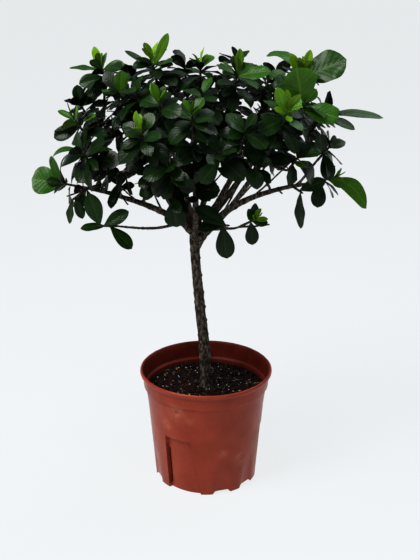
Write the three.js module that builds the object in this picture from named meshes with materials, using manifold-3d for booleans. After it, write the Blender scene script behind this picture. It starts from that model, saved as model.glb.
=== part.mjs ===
// A gardenia grown as a small standard tree in a plastic nursery pot.
//
// Millimetres, +Z up. The origin is the centre of the pot's underside, on the surface that it stands on.
// The pot is a thin tapered cup with a rolled rim, a stacking step, three sunken side panels with a slit
// down one edge, and a fluted foot. Potting compost fills it, and the stem stands in a plain hole there.
// The stem forks low into arching limbs and twigs, all one piece of wood. Every leafy spray at a twig's
// end is a piece of its own, and so is the young shoot at the tip of some of them.
import * as THREE from "three";
import { mergeVertices } from "three/addons/utils/BufferGeometryUtils.js";
import Module from "manifold-3d";

const wasm = await Module();
wasm.setup();

// ---------------------------------------------------------------- driving dimensions

const GAP = 0.3; // between pieces that touch
const MERGE = 1e-3; // vertices closer than this are one
const SLIVER = 0.05; // edges shorter than this, left where solids cross, are closed up

const POT_HEIGHT = 150;
const RIM_RADIUS = 85;
const FOOT_RADIUS = 66.5;
const WALL = 1.6;
const BEAD_HEIGHT = 5.5;
const STEP_HEIGHT = 128; // where the wall steps in, so that empty pots stack
const WAIST = [74.8, 102]; // radius and height where the upper wall meets the straighter lower wall
const FLOOR = 4; // underside of the floor, above the foot ring
const FOOT_INSIDE = 60; // inner radius of the foot ring
const POT_SEGMENTS = 36;
const SOIL_SEGMENTS = 20;

const PANEL_COUNT = 3;
const PANEL_TOP = 78;
const PANEL_LEFT = -135; // degrees round +Z from +X: the panel's upright edge
const PANEL_SPAN_TOP = 29;
const PANEL_SPAN_FOOT = 39;
const PANEL_DEEP = 4.6; // recess at the upright edge
const PANEL_SHALLOW = 2.6; // recess at the slanted edge
const SLIT = { start: 0.6, span: 2.4, low: 9, high: 60 }; // degrees from the upright edge, and heights

const FLUTE_TOP = 60;
const FLUTE_DEPTH = 2.4;
const FLUTE_FADE = 0.4; // how far outside the wall a flute's surface ends, so that it fades out below its top
const FLUTE_SPAN = 21;
const FLUTE_NARROWING = 0.6; // share of its span that a flute loses up to its top
const DEGREES_PER_MM = 0.85; // round the wall
const FLUTES = [-72, -39]; // degrees, in the first of the three sectors
const NOTCH_SPAN = 15; // degrees cut out of the foot ring below each flute
const DRAIN_COUNT = 6;
const DRAIN_RADIUS = 4.5;
const DRAIN_RING = 44;
const DRAIN_TURN = 0.35; // of the way from one hole to the next, so that none is cut by a flute

const SOIL_LEVEL = 122;
const SOIL_ROUGHNESS = 3.2;
const SOIL_CELLS = 7;
const SOIL_HEAP = 2.5; // how much higher it lies at the stem
const SOIL_HEAP_REACH = 30;
const SOIL_CLEAR = 0.1; // from the wall, more than the plain gap because its facets are longer

const STEM = [[1, -1, 86], [1, 0, 190], [-10, 0, 240], [-15, 0, 338]];
const STEM_RADII = [7.6, 5.6];
const STEM_SIDES = 10;
const STEM_STEPS = 5;
const LIMB_SIDES = 6;
const LIMB_STEPS = 5;
const TWIG_SIDES = 4;
const TWIG_STEPS = 2;
const TWIG_LEAN = 0.3; // how far a twig follows its limb before it turns, as a share of its length
const TWIG_RADII = [1.9, 1.6];
const RUN_IN = 0.35; // the last share of a branch that runs straight into its spray
const SPRAY_STEM = 22;
const SPRAY_RADII = [1.6, 1.4];

const BLADE = 1.1; // depth of a blade at its midrib
const BLADE_STATIONS = [0.3, 0.7]; // along the blade, between its stalk and its tip
const BIG_STATIONS = [0.25, 0.55, 0.84]; // the same for the leaves set by hand
const STALK = 0.55; // half width where the blade leaves the stem
const LIGHTWARD = 0.9; // how far an upper face turns up and out of the crown
const SUNK = 0.6; // from a stem's axis to the start of a stalk
const CLEAR = 0.35; // kept round a leaf when it is bent clear of its neighbours

// ---------------------------------------------------------------- solids

/** A closed three.js geometry as a manifold solid, whichever way its faces point. */
function solid(geometry) {
  const bare = new THREE.BufferGeometry();
  const plain = geometry.index ? geometry.toNonIndexed() : geometry;
  bare.setAttribute("position", plain.getAttribute("position"));
  const merged = mergeVertices(bare, MERGE);
  const triVerts = new Uint32Array(merged.index.array);
  const make = () => new wasm.Manifold(new wasm.Mesh({
    numProp: 3, vertProperties: merged.attributes.position.array, triVerts,
  }));
  const made = make();
  if (made.volume() >= 0) return made;
  for (let i = 0; i < triVerts.length; i += 3)
    [triVerts[i + 1], triVerts[i + 2]] = [triVerts[i + 2], triVerts[i + 1]];
  return make();
}

/** A manifold solid as a three.js geometry with flat shading. */
function geometryOf(made) {
  const mesh = made.getMesh();
  const points = new Float32Array(mesh.numVert * 3);
  for (let i = 0; i < mesh.numVert; i++)
    points.set(mesh.vertProperties.subarray(i * mesh.numProp, i * mesh.numProp + 3), i * 3);
  const geometry = new THREE.BufferGeometry()
    .setAttribute("position", new THREE.BufferAttribute(points, 3))
    .setIndex(new THREE.BufferAttribute(new Uint32Array(mesh.triVerts), 1))
    .toNonIndexed();
  geometry.computeVertexNormals();
  return geometry;
}

/** Solids joined in one body, with any hollow that the joining seals filled. */
function joined(solids) {
  const bodies = solids.reduce((sum, next) => sum.add(next)).simplify(SLIVER).decompose();
  return bodies.reduce((most, next) => (next.volume() > most.volume() ? next : most));
}

/** A solid of revolution about +Z, from [radius, height] pairs that start and end on the axis. */
function turned(profile, segments = POT_SEGMENTS) {
  const outline = profile.map(([radius, height]) => new THREE.Vector2(radius, height));
  return solid(new THREE.LatheGeometry(outline, segments).rotateX(Math.PI / 2));
}

/** A closed solid from quads and triangles over a list of points, each face as a list of indices. */
function faceted(points, faces) {
  const corners = [];
  for (const face of faces)
    for (let i = 1; i < face.length - 1; i++)
      for (const k of [face[0], face[i], face[i + 1]]) corners.push(...points[k]);
  return solid(new THREE.BufferGeometry()
    .setAttribute("position", new THREE.Float32BufferAttribute(corners, 3)));
}

/** The solid between two surfaces over the same nu by nv grid of u and v from 0 to 1. */
function between(near, far, nu, nv) {
  const points = [];
  for (const surface of [near, far])
    for (let i = 0; i <= nu; i++)
      for (let j = 0; j <= nv; j++) points.push(surface(i / nu, j / nv));
  const at = (side, i, j) => side * (nu + 1) * (nv + 1) + i * (nv + 1) + j;
  const faces = [];
  for (let i = 0; i < nu; i++)
    for (let j = 0; j < nv; j++) {
      faces.push([at(0, i, j), at(0, i, j + 1), at(0, i + 1, j + 1), at(0, i + 1, j)]);
      faces.push([at(1, i, j), at(1, i + 1, j), at(1, i + 1, j + 1), at(1, i, j + 1)]);
    }
  for (let i = 0; i < nu; i++) {
    faces.push([at(0, i, 0), at(0, i + 1, 0), at(1, i + 1, 0), at(1, i, 0)]);
    faces.push([at(0, i + 1, nv), at(0, i, nv), at(1, i, nv), at(1, i + 1, nv)]);
  }
  for (let j = 0; j < nv; j++) {
    faces.push([at(0, 0, j + 1), at(0, 0, j), at(1, 0, j), at(1, 0, j + 1)]);
    faces.push([at(0, nu, j), at(0, nu, j + 1), at(1, nu, j + 1), at(1, nu, j)]);
  }
  return faceted(points, faces);
}

/** Two directions square to a stem and to each other. */
function squareTo(along, chord = along) {
  const away = Math.abs(chord.z) < 0.85 ? new THREE.Vector3(0, 0, 1) : new THREE.Vector3(1, 0, 0);
  const side = new THREE.Vector3().crossVectors(along, away).normalize();
  return [side, new THREE.Vector3().crossVectors(side, along)];
}

/** A round tapered stem along a curve, closed by a flat face at each end. */
function tapered(curve, [startRadius, endRadius], sides, steps) {
  const chord = curve.getPoint(1).sub(curve.getPoint(0)).normalize();
  const points = [];
  for (let i = 0; i <= steps; i++) {
    const [side, up] = squareTo(curve.getTangent(i / steps), chord);
    const radius = startRadius + (endRadius - startRadius) * (i / steps);
    for (let k = 0; k < sides; k++) {
      const turn = (2 * Math.PI * k) / sides;
      points.push(curve.getPoint(i / steps)
        .addScaledVector(side, radius * Math.cos(turn))
        .addScaledVector(up, radius * Math.sin(turn)).toArray());
    }
  }
  const ring = (i) => Array.from({ length: sides }, (_, k) => i * sides + k);
  const faces = [ring(0).reverse(), ring(steps)];
  for (let i = 0; i < steps; i++)
    for (let k = 0; k < sides; k++) {
      const next = (k + 1) % sides;
      faces.push([i * sides + k, i * sides + next, (i + 1) * sides + next, (i + 1) * sides + k]);
    }
  return faceted(points, faces);
}

const vector = (triple) => new THREE.Vector3(...triple);
const bezier = (route) => new THREE.CubicBezierCurve3(...route.map(vector));

/** A repeatable draw from 0 to 1 for one named thing, whatever was drawn before it. */
function draw(...keys) {
  let n = keys.reduce((sum, key, i) => sum + (key + 1) * [7919, 104729, 1299709][i], 1);
  for (let k = 0; k < 3; k++) n = (n * 16807) % 2147483647;
  return n / 2147483647;
}

const spread = (middle, range, ...keys) => middle + range * (2 * draw(...keys) - 1);

// ---------------------------------------------------------------- pot

const radians = THREE.MathUtils.degToRad;
const polar = (degrees, radius, height) =>
  [radius * Math.cos(radians(degrees)), radius * Math.sin(radians(degrees)), height];

/** The wall's outer radius below the stacking step. */
const wallRadius = (height) =>
  FOOT_RADIUS + (WAIST[0] - FOOT_RADIUS) * (height / WAIST[1]);

/** A block from a sunken surface out past the wall; v runs up the wall and u across it. */
function sunken(angleAt, depthAt, low, high, columns) {
  const height = (v) => low + (high - low) * v;
  return between(
    (u, v) => polar(angleAt(u, v), wallRadius(height(v)) - depthAt(u, v), height(v)),
    (u, v) => polar(angleAt(u, v), RIM_RADIUS + 15, height(v)), columns, 1);
}

/** What is pressed in from outside: three panels and two flutes each. grow is the wall's thickness inside. */
function pressings(grow) {
  const made = [];
  const margin = grow * DEGREES_PER_MM;
  for (let i = 0; i < PANEL_COUNT; i++) {
    const turn = (360 / PANEL_COUNT) * i;
    const top = PANEL_TOP + grow;
    const spanAt = (v) => PANEL_SPAN_FOOT + (PANEL_SPAN_TOP - PANEL_SPAN_FOOT) * v + 2 * margin;
    made.push(sunken(
      (u, v) => turn + PANEL_LEFT - margin + spanAt(v) * u,
      (u) => PANEL_DEEP + (PANEL_SHALLOW - PANEL_DEEP) * u + grow, -1, top, 4));
    for (const middle of FLUTES)
      made.push(sunken(
        (u, v) => turn + middle + (u - 0.5) * (FLUTE_SPAN * (1 - FLUTE_NARROWING * v) + 2 * margin),
        (u, v) => (FLUTE_DEPTH + FLUTE_FADE) * (1 - v) - FLUTE_FADE + grow, -1, FLUTE_TOP + grow, 2));
  }
  return made;
}

/** The space inside the pot, taken in by inset all round. */
function potInside(inset, segments = POT_SEGMENTS) {
  const r = -WALL - inset;
  const floor = FLOOR + WALL + inset;
  const body = turned([
    [0, floor], [wallRadius(floor) + r, floor], [WAIST[0] + r, WAIST[1]],
    [77.8 + r, STEP_HEIGHT - 1], [80.4 + r, STEP_HEIGHT + 1.5],
    [RIM_RADIUS - 1 + r, POT_HEIGHT + 1], [0, POT_HEIGHT + 1],
  ], segments);
  return pressings(WALL + inset).reduce((left, cut) => left.subtract(cut), body);
}

function potSolid() {
  const outside = turned([
    [0, 0], [FOOT_RADIUS, 0], WAIST, [77.8, STEP_HEIGHT - 2], [80.4, STEP_HEIGHT + 0.5],
    [82, POT_HEIGHT - BEAD_HEIGHT - 0.8], [84.4, POT_HEIGHT - BEAD_HEIGHT],
    [RIM_RADIUS, POT_HEIGHT - 2.6], [84.4, POT_HEIGHT], [0, POT_HEIGHT],
  ]);
  const underside = turned([[0, -1], [FOOT_INSIDE + 1, -1], [FOOT_INSIDE, FLOOR], [0, FLOOR]]);
  const cuts = [...pressings(0), potInside(0), underside];
  for (let i = 0; i < PANEL_COUNT; i++) {
    const turn = (360 / PANEL_COUNT) * i;
    const block = (start, span, low, high) => cuts.push(between(
      (u, v) => polar(turn + start + span * u, FOOT_INSIDE - 2, low + (high - low) * v),
      (u, v) => polar(turn + start + span * u, RIM_RADIUS, low + (high - low) * v), 1, 1));
    for (const middle of FLUTES) block(middle - NOTCH_SPAN / 2, NOTCH_SPAN, -1, FLOOR);
    block(PANEL_LEFT + SLIT.start, SLIT.span, SLIT.low, SLIT.high);
  }
  for (let i = 0; i < DRAIN_COUNT; i++) {
    const [x, y] = polar((360 / DRAIN_COUNT) * (i + DRAIN_TURN), DRAIN_RING, 0);
    cuts.push(solid(new THREE.CylinderGeometry(DRAIN_RADIUS, DRAIN_RADIUS, 12, 8)
      .rotateX(Math.PI / 2).translate(x, y, FLOOR)));
  }
  return cuts.reduce((left, cut) => left.subtract(cut), outside);
}

// ---------------------------------------------------------------- compost

function soilSolid(stem) {
  const reach = RIM_RADIUS + 5;
  const bump = (u, v) => spread(0, SOIL_ROUGHNESS / 2,
    Math.round(u * SOIL_CELLS), Math.round(v * SOIL_CELLS));
  const mound = (x, y) => SOIL_HEAP * Math.exp(-(x * x + y * y) / SOIL_HEAP_REACH ** 2);
  const air = between(
    (u, v) => {
      const [x, y] = [reach * (2 * u - 1), reach * (2 * v - 1)];
      return [x, y, SOIL_LEVEL + bump(u, v) + mound(x, y)];
    },
    (u, v) => [reach * (2 * u - 1), reach * (2 * v - 1), POT_HEIGHT + 10], SOIL_CELLS, SOIL_CELLS);
  return potInside(GAP + SOIL_CLEAR, SOIL_SEGMENTS).subtract(air).subtract(stem);
}

// ---------------------------------------------------------------- wood

// Each limb: where it leaves the fork, a point that draws it outwards, the spray it ends in, and its radii.
const LIMBS = {
  left: { from: [-15, 0, 334], by: [-50, -8, 368], to: "left_end", radii: [4.8, 1.8] },
  low_left: { from: [-24, -3, 348], by: [-62, -16, 336], to: "low_left_tip", radii: [2.1, 1.4] },
  high_left: { from: [-15, 1, 337], by: [-48, 12, 392], to: "crest_left", radii: [4.4, 1.8] },
  front_left: { from: [-15, -1, 330], by: [-40, -40, 368], to: "front_left_tip", radii: [4.2, 1.8] },
  middle: { from: [-15, 0, 334], by: [-28, -4, 410], to: "crest_middle_left", radii: [4.6, 1.8] },
  front: { from: [-14, -1, 324], by: [-10, -46, 368], to: "front_tip", radii: [4.2, 1.8] },
  right: { from: [-12, 0, 312], by: [24, -14, 390], to: "right_end", radii: [5.0, 1.9] },
  high_right: { from: [-13, 1, 326], by: [40, 6, 392], to: "crest_right", radii: [4.6, 1.8] },
  middle_right: { from: [-13, 1, 332], by: [8, 8, 410], to: "crest_middle_right", radii: [4.2, 1.8] },
  front_right: { from: [-12, -1, 320], by: [28, -42, 366], to: "front_right_tip", radii: [4.2, 1.8] },
  low_right: { from: [-12, -3, 334], by: [8, -34, 350], to: "low_right_tip", radii: [2.1, 1.4] },
  back_right: { from: [-12, 2, 325], by: [34, 52, 382], to: "back_right_tip", radii: [4.4, 1.8] },
  back_left: { from: [-15, 2, 331], by: [-58, 58, 388], to: "back_left_tip", radii: [4.4, 1.8] },
  back: { from: [-14, 2, 328], by: [-8, 54, 410], to: "back_tip", radii: [4.2, 1.8] },
};

// ---------------------------------------------------------------- sprays

// Each spray: its limb, how far along it a twig leaves for the spray if it isn't the limb's own end, its tip,
// the way it points if not up and outwards, its leaves' count and usual length, and the leaf length of its
// young shoot. big lists single leaves set by hand: the way a blade runs, the way its upper face looks, its
// length, its width, and how far in radians it curls down.
const SPRAYS = {
  crest_left: { limb: "high_left", tip: [-122, 20, 528], leaves: 8, length: 38, shoot: 24,
    big: [[[-1, 0.1, 0.25], [0.2, -0.25, 1], 42, 14, 0.35]] },
  crest_left_front: { limb: "high_left", at: 0.78, tip: [-98, -34, 510], leaves: 8, length: 36,
    big: [[[0.1, -0.3, 1], [0.1, -1, 0.1], 34, 19, 0.1]] },
  shoulder_left: { limb: "high_left", at: 0.72, tip: [-152, 34, 484], leaves: 8, length: 36 },
  high_left_inner: { limb: "high_left", at: 0.6, tip: [-88, 30, 500], leaves: 8, length: 38 },
  crest_middle_left: { limb: "middle", tip: [-61, 0, 536], leaves: 8, length: 40, shoot: 26,
    big: [[[0.45, 0.1, 1], [0.1, -1, 0.25], 45, 15, 0.15], [[-0.8, 0.2, 0.6], [0.5, -0.5, 0.8], 42, 13, 0.2],
      [[1, -0.1, 0.2], [0, -0.2, 1], 42, 14, 0.5]] },
  crest_middle_front: { limb: "middle", at: 0.8, tip: [-78, -48, 512], leaves: 8, length: 36 },
  middle_front: { limb: "middle", at: 0.62, tip: [-50, -84, 505], leaves: 8, length: 38, shoot: 24 },
  front_left_tip: { limb: "front_left", tip: [-68, -116, 480], leaves: 8, length: 38, shoot: 22 },
  front_left_side: { limb: "front_left", at: 0.74, tip: [-140, -66, 448], leaves: 8, length: 42 },
  left_upper: { limb: "left", at: 0.72, tip: [-148, -30, 474], leaves: 8, length: 36, shoot: 24,
    big: [[[-1, -0.1, -0.1], [-0.1, -0.3, 1], 30, 12, 0.3]] },
  left_end: { limb: "left", tip: [-171, -14, 398], axis: [-1, 0, 0.2], leaves: 6, length: 32,
    big: [[[-1, -0.15, 0.22], [0.15, -1, 0.5], 40, 35, 0.3],
      [[-0.9, -0.1, 0.5], [-0.45, -0.35, -0.85], 56, 16, 2.6]] },
  left_hanging: { limb: "left", at: 0.9, tip: [-158, -42, 384], axis: [-0.5, -0.5, -0.3], leaves: 0,
    length: 30, big: [[[-0.25, -0.1, -1], [-0.7, -0.7, 0.2], 30, 13, 0.2],
      [[0.35, -0.1, -1], [0.3, -1, 0.1], 27, 12, 0.2]] },
  left_inner: { limb: "left", at: 0.6, tip: [-116, -44, 426], leaves: 7, length: 38 },
  left_middle: { limb: "left", at: 0.42, tip: [-70, -20, 446], leaves: 7, length: 36 },
  low_left_tip: { limb: "low_left", tip: [-127, -46, 355], axis: [-1, -0.4, 0.15], leaves: 0,
    length: 36, big: [[[-0.3, -0.1, 1], [0.15, -1, 0.1], 42, 21, 0.25],
      [[1, -0.2, 0.7], [-0.2, -1, 0.5], 36, 17, 0.3],
      [[-1, -0.2, 0.05], [0, -0.5, 1], 31, 15, 0.25], [[0.8, -0.3, -0.7], [0.5, -1, 0.5], 38, 18, 0.2]] },
  fork_front: { limb: "front_left", at: 0.26, tip: [-37, -84, 398], axis: [-0.25, -0.95, 0.2], leaves: 2,
    length: 34, big: [[[0.1, -0.3, -1], [-0.2, -1, 0.2], 32, 26, 0.2]] },
  front_tip: { limb: "front", tip: [-14, -112, 498], leaves: 8, length: 38, shoot: 20 },
  front_left_face: { limb: "front", at: 0.66, tip: [-40, -116, 446], leaves: 8, length: 38 },
  front_face: { limb: "front", at: 0.74, tip: [16, -116, 460], leaves: 8, length: 38 },
  crest_front: { limb: "middle_right", at: 0.7, tip: [-4, -50, 512], leaves: 8, length: 36 },
  low_right_near: { limb: "low_right", at: 0.62, tip: [26, -80, 366], axis: [0.6, -0.7, 0.2], leaves: 0,
    length: 34, big: [[[-1, -0.1, 0.7], [0.1, -0.8, 0.6], 42, 20, 0.3],
      [[-1, -0.3, 0], [0, -0.6, 1], 32, 14, 0.2], [[0.15, -0.2, -1], [0, -1, 0.1], 40, 22, 0.2]] },
  low_right_tip: { limb: "low_right", tip: [54, -74, 370], axis: [0.6, -0.6, 0.5], leaves: 3,
    length: 30, shoot: 17, big: [[[0.1, -0.2, -1], [0.2, -1, 0], 28, 16, 0.2]] },
  right_pendant: { limb: "right", at: 0.84, tip: [112, -48, 396], axis: [0.4, -0.8, -0.1], leaves: 0,
    length: 34,
    big: [[[0, 0, -1], [-0.8, -0.6, 0], 46, 17, 0.1], [[1, -0.2, 0.5], [0, -1, 0.6], 34, 16, 0.3]] },
  right_end: { limb: "right", tip: [146, -20, 405], axis: [1, -0.2, 0.3], leaves: 4, length: 34,
    shoot: 20,
    big: [[[0.8, -0.1, -0.5], [0.25, -0.9, 0.45], 62, 22, 0.3], [[1, 0, -0.4], [0, -0.2, 1], 28, 9, 0.5],
      [[-0.1, -0.3, -1], [-0.2, -1, 0], 32, 18, 0.1]] },
  right_upper: { limb: "right", at: 0.8, tip: [144, -30, 446], leaves: 8, length: 38 },
  right_inner: { limb: "right", at: 0.6, tip: [80, -44, 442], leaves: 6, length: 36 },
  shoulder_right: { limb: "high_right", at: 0.66, tip: [140, 6, 478], leaves: 8, length: 40,
    big: [[[1, 0, 0.06], [0, -0.5, 1], 74, 15, 0.25], [[1, -0.4, 0.05], [0.1, -0.5, 1], 44, 15, 0.7]] },
  crest_right: { limb: "high_right", tip: [110, -20, 528], leaves: 8, length: 40, shoot: 24,
    big: [[[-0.25, -0.1, 1], [0.9, -0.6, 0.2], 56, 18, 1.9],
      [[1, -0.1, 0.5], [-0.3, -1, 0.7], 58, 40, 0.15]] },
  crest_right_front: { limb: "high_right", at: 0.82, tip: [110, -58, 502], leaves: 7, length: 40,
    big: [[[-0.2, -0.3, 1], [0.1, -1, 0.55], 46, 42, 0.1],
      [[1, -0.4, -0.1], [0.2, -0.8, 0.7], 44, 28, 0.3]] },
  crest_inner_right: { limb: "high_right", at: 0.8, tip: [74, 10, 518], leaves: 8, length: 38 },
  front_right_tip: { limb: "front_right", tip: [88, -102, 499], leaves: 8, length: 38, shoot: 26 },
  front_right_high: { limb: "front_right", at: 0.8, tip: [44, -104, 482], leaves: 8, length: 38 },
  front_right_side: { limb: "front_right", at: 0.72, tip: [104, -92, 451], leaves: 8, length: 40 },
  front_right_low: { limb: "front_right", at: 0.62, tip: [56, -98, 441], leaves: 6, length: 36,
    big: [[[0.1, -0.3, -1], [0, -1, 0.2], 32, 18, 0.2]] },
  crest_middle_right: { limb: "middle_right", tip: [36, -30, 530], leaves: 8, length: 40, shoot: 26,
    big: [[[1, -0.2, 0.3], [-0.2, -0.8, 1], 40, 20, 0.3]] },
  crest_middle: { limb: "middle_right", at: 0.8, tip: [-6, 10, 530], leaves: 8, length: 38, shoot: 20 },
  back_crest: { limb: "back", at: 0.86, tip: [40, 58, 532], leaves: 7, length: 38 },
  back_tip: { limb: "back", tip: [-26, 88, 520], leaves: 7, length: 38 },
  back_low: { limb: "back", at: 0.6, tip: [4, 121, 468], leaves: 7, length: 38 },
  back_left_tip: { limb: "back_left", tip: [-88, 80, 514], leaves: 7, length: 38 },
  back_left_side: { limb: "back_left", at: 0.7, tip: [-134, 78, 458], leaves: 7, length: 38 },
  back_left_low: { limb: "back_left", at: 0.56, tip: [-66, 112, 456], leaves: 7, length: 36 },
  back_right_tip: { limb: "back_right", tip: [86, 86, 508], leaves: 7, length: 38 },
  back_right_side: { limb: "back_right", at: 0.7, tip: [134, 66, 462], leaves: 7, length: 38 },
  back_right_low: { limb: "back_right", at: 0.56, tip: [70, 112, 452], leaves: 7, length: 36 },
};

const CROWN_HEART = [-6, 0, 400]; // sprays with no axis of their own point away from here, and up
const UPWARD = 0.9;

// Opposite pairs from the tip down, each turned a quarter from the last: how far along the stem, how far
// the blades open from it, their share of the spray's usual length, and their curl.
const PAIRS = [
  { along: 0.96, open: 40, share: 0.72, curl: 0.35 },
  { along: 0.76, open: 62, share: 0.95, curl: 0.6 },
  { along: 0.55, open: 80, share: 1, curl: 0.75 },
  { along: 0.34, open: 94, share: 0.95, curl: 0.7 },
  { along: 0.12, open: 106, share: 0.85, curl: 0.6 },
];
const WIDTH_SHARE = 0.5;
const SHOOT_LEAVES = [
  { along: 0, open: 5, share: 1.15 },
  { along: 3, open: 32, share: 0.9 },
  { along: 4.5, open: 30, share: 0.8 },
];
const SHOOT_GAP = 0.9; // from the spray's tip to the shoot
const SHOOT_WIDTH_SHARE = 0.4;
const SHOOT_CURL = 0.25;

// Ways to bend a leaf clear, tried in turn: degrees down from its place, degrees aside, and length kept.
const BENDS = [
  [0, 0, 1], [10, 0, 1], [-12, 0, 1], [0, 14, 1], [0, -14, 1], [16, 12, 1], [-18, -12, 1], [22, -14, 0.9],
  [-24, 14, 0.9], [0, 26, 0.85], [0, -26, 0.85], [12, 0, 0.75], [-12, 0, 0.75], [26, 20, 0.75],
  [-28, -20, 0.75],
];

/** Half the width of a blade, as a share of its greatest, from its stalk at 0 to its tip at 1. */
function bladeShape(s) {
  const [rise, fall] = [1.15, 0.72];
  const peak = rise / (rise + fall);
  return (s ** rise * (1 - s) ** fall) / (peak ** rise * (1 - peak) ** fall);
}

/** A blade's frame once it is bent: the way it runs, the way its upper face looks, and its side. */
function bladeFrame(leaf, [down, aside]) {
  const run = leaf.run.clone().normalize();
  const side = new THREE.Vector3().crossVectors(run, leaf.face).normalize();
  const face = new THREE.Vector3().crossVectors(side, run);
  run.applyAxisAngle(side, -radians(down));
  face.applyAxisAngle(side, -radians(down));
  run.applyAxisAngle(face, radians(aside));
  side.applyAxisAngle(face, radians(aside));
  return { run, face, side };
}

/** A leaf's blade: a flat upper face and a keel along the midrib beneath, arched over its length. */
function bladeSolid(leaf, bend, grow = 0, start = 0) {
  const { run, face, side } = bladeFrame(leaf, bend);
  const length = leaf.length * bend[2];
  const midrib = (s, lift = 0) => {
    const turn = leaf.curl * s;
    const level = (length * Math.sin(turn)) / leaf.curl;
    const drop = (length * (1 - Math.cos(turn))) / leaf.curl;
    return leaf.root.clone().addScaledVector(run, level + lift * Math.sin(turn))
      .addScaledVector(face, lift * Math.cos(turn) - drop);
  };
  const points = [];
  for (const s of [start, ...leaf.stations]) {
    const half = Math.max((leaf.width / 2) * bladeShape(s), STALK) + grow;
    const depth = Math.min(BLADE, 2 * half) + 2 * grow;
    points.push(midrib(s, depth / 2).addScaledVector(side, -half).toArray());
    points.push(midrib(s, depth / 2).addScaledVector(side, half).toArray());
    points.push(midrib(s, -depth / 2).toArray());
  }
  points.push(midrib(1 + grow / length).toArray());
  const faces = [[0, 1, 2]];
  const last = 3 * leaf.stations.length;
  for (let i = 0; i < last; i += 3)
    for (const [a, b] of [[1, 0], [2, 1], [0, 2]]) faces.push([i + a, i + b, i + 3 + b, i + 3 + a]);
  for (const [a, b] of [[1, 0], [2, 1], [0, 2]]) faces.push([last + a, last + b, last + 3]);
  return faceted(points, faces);
}

/** Where a spray's stem starts, the way it runs, and two directions square to it. */
function sprayFrame(spray) {
  const tip = vector(spray.tip);
  const axis = spray.axis ? vector(spray.axis)
    : tip.clone().sub(vector(CROWN_HEART)).normalize().add(new THREE.Vector3(0, 0, UPWARD));
  axis.normalize();
  const [east, north] = squareTo(axis);
  return { tip, axis, east, north, base: tip.clone().addScaledVector(axis, -SPRAY_STEM) };
}

/** A leaf that opens from a stem: its root on the stem's axis, the way it runs and its face. */
function openLeaf(frame, root, turn, open, length, width, curl, sunk = 0) {
  const out = frame.east.clone().multiplyScalar(Math.cos(turn)).addScaledVector(frame.north, Math.sin(turn));
  const run = frame.axis.clone().multiplyScalar(Math.cos(open)).addScaledVector(out, Math.sin(open));
  const face = frame.axis.clone().multiplyScalar(Math.sin(open)).addScaledVector(out, -Math.cos(open))
    .addScaledVector(root.clone().sub(vector(CROWN_HEART)).normalize(), LIGHTWARD);
  const stalk = root.clone().addScaledVector(out, sunk);
  return { root: stalk, run, face, length, width, curl, stations: BLADE_STATIONS };
}

/** Every mature leaf of a spray, the ones set by hand first. */
function sprayLeaves(spray, index) {
  const frame = sprayFrame(spray);
  const on = (along) => frame.base.clone().addScaledVector(frame.axis, SPRAY_STEM * along);
  const leaves = (spray.big ?? []).map(([run, face, length, width, curl], k) =>
    ({ root: on(0.86 - 0.17 * k), run: vector(run), face: vector(face), length, width, curl,
      stations: BIG_STATIONS }));
  for (let k = 0; k < spray.leaves; k++) {
    const pair = PAIRS[Math.floor(k / 2)];
    const turn = radians(spread(45 + 90 * Math.floor(k / 2) + 180 * (k % 2), 9, index, k, 0));
    const open = radians(spread(pair.open, 10, index, k, 1));
    const length = spray.length * pair.share * spread(1, 0.13, index, k, 2);
    const width = length * WIDTH_SHARE * spread(1, 0.12, index, k, 3);
    const curl = pair.curl * spread(1, 0.5, index, k, 4);
    leaves.push(openLeaf(frame, on(pair.along - 0.04 * (k % 2)), turn, open, length, width, curl, SUNK));
  }
  return leaves;
}

/** Every leaf of a spray's young shoot. The first one's stalk carries the others. */
function shootLeaves(spray, index) {
  const frame = sprayFrame(spray);
  const on = (along) => frame.tip.clone().addScaledVector(frame.axis, SHOOT_GAP + along);
  return SHOOT_LEAVES.map((leaf, k) => {
    const turn = radians(spread(180 * k + 53 * index, 20, index, k, 5));
    const length = spray.shoot * leaf.share * spread(1, 0.1, index, k, 6);
    const width = length * SHOOT_WIDTH_SHARE;
    return openLeaf(frame, on(leaf.along), turn, radians(leaf.open), length, width, SHOOT_CURL);
  });
}

/** A curve that sets out towards a point and runs straight into a spray's stem, just short of it. */
function curveInto(spray, from, by) {
  const { base, axis } = sprayFrame(spray);
  const end = base.clone().addScaledVector(axis, -GAP);
  const runIn = end.clone().addScaledVector(axis, -RUN_IN * by.distanceTo(end));
  return new THREE.CubicBezierCurve3(from, by, runIn, end);
}

const limbCurve = (limb) => curveInto(SPRAYS[limb.to], vector(limb.from), vector(limb.by));

/** The twig's curve from its limb to its spray. */
function twigCurve(spray) {
  const limb = limbCurve(LIMBS[spray.limb]);
  const root = limb.getPoint(spray.at);
  const reach = root.distanceTo(sprayFrame(spray).base);
  return curveInto(spray, root, root.clone().addScaledVector(limb.getTangent(spray.at), TWIG_LEAN * reach));
}

function woodSolid() {
  const pieces = [tapered(bezier(STEM), STEM_RADII, STEM_SIDES, STEM_STEPS)];
  for (const limb of Object.values(LIMBS))
    pieces.push(tapered(limbCurve(limb), limb.radii, LIMB_SIDES, LIMB_STEPS));
  for (const spray of Object.values(SPRAYS))
    if (spray.at) pieces.push(tapered(twigCurve(spray), TWIG_RADII, TWIG_SIDES, TWIG_STEPS));
  return joined(pieces);
}

// ---------------------------------------------------------------- bending leaves clear

const touches = (a, b) => {
  const [p, q] = [a.box, b.box];
  for (let k = 0; k < 3; k++) if (p.min[k] > q.max[k] || q.min[k] > p.max[k]) return false;
  return !a.made.intersect(b.made).isEmpty();
};
const boxed = (made, owner) => ({ made, owner, box: made.boundingBox() });

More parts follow.
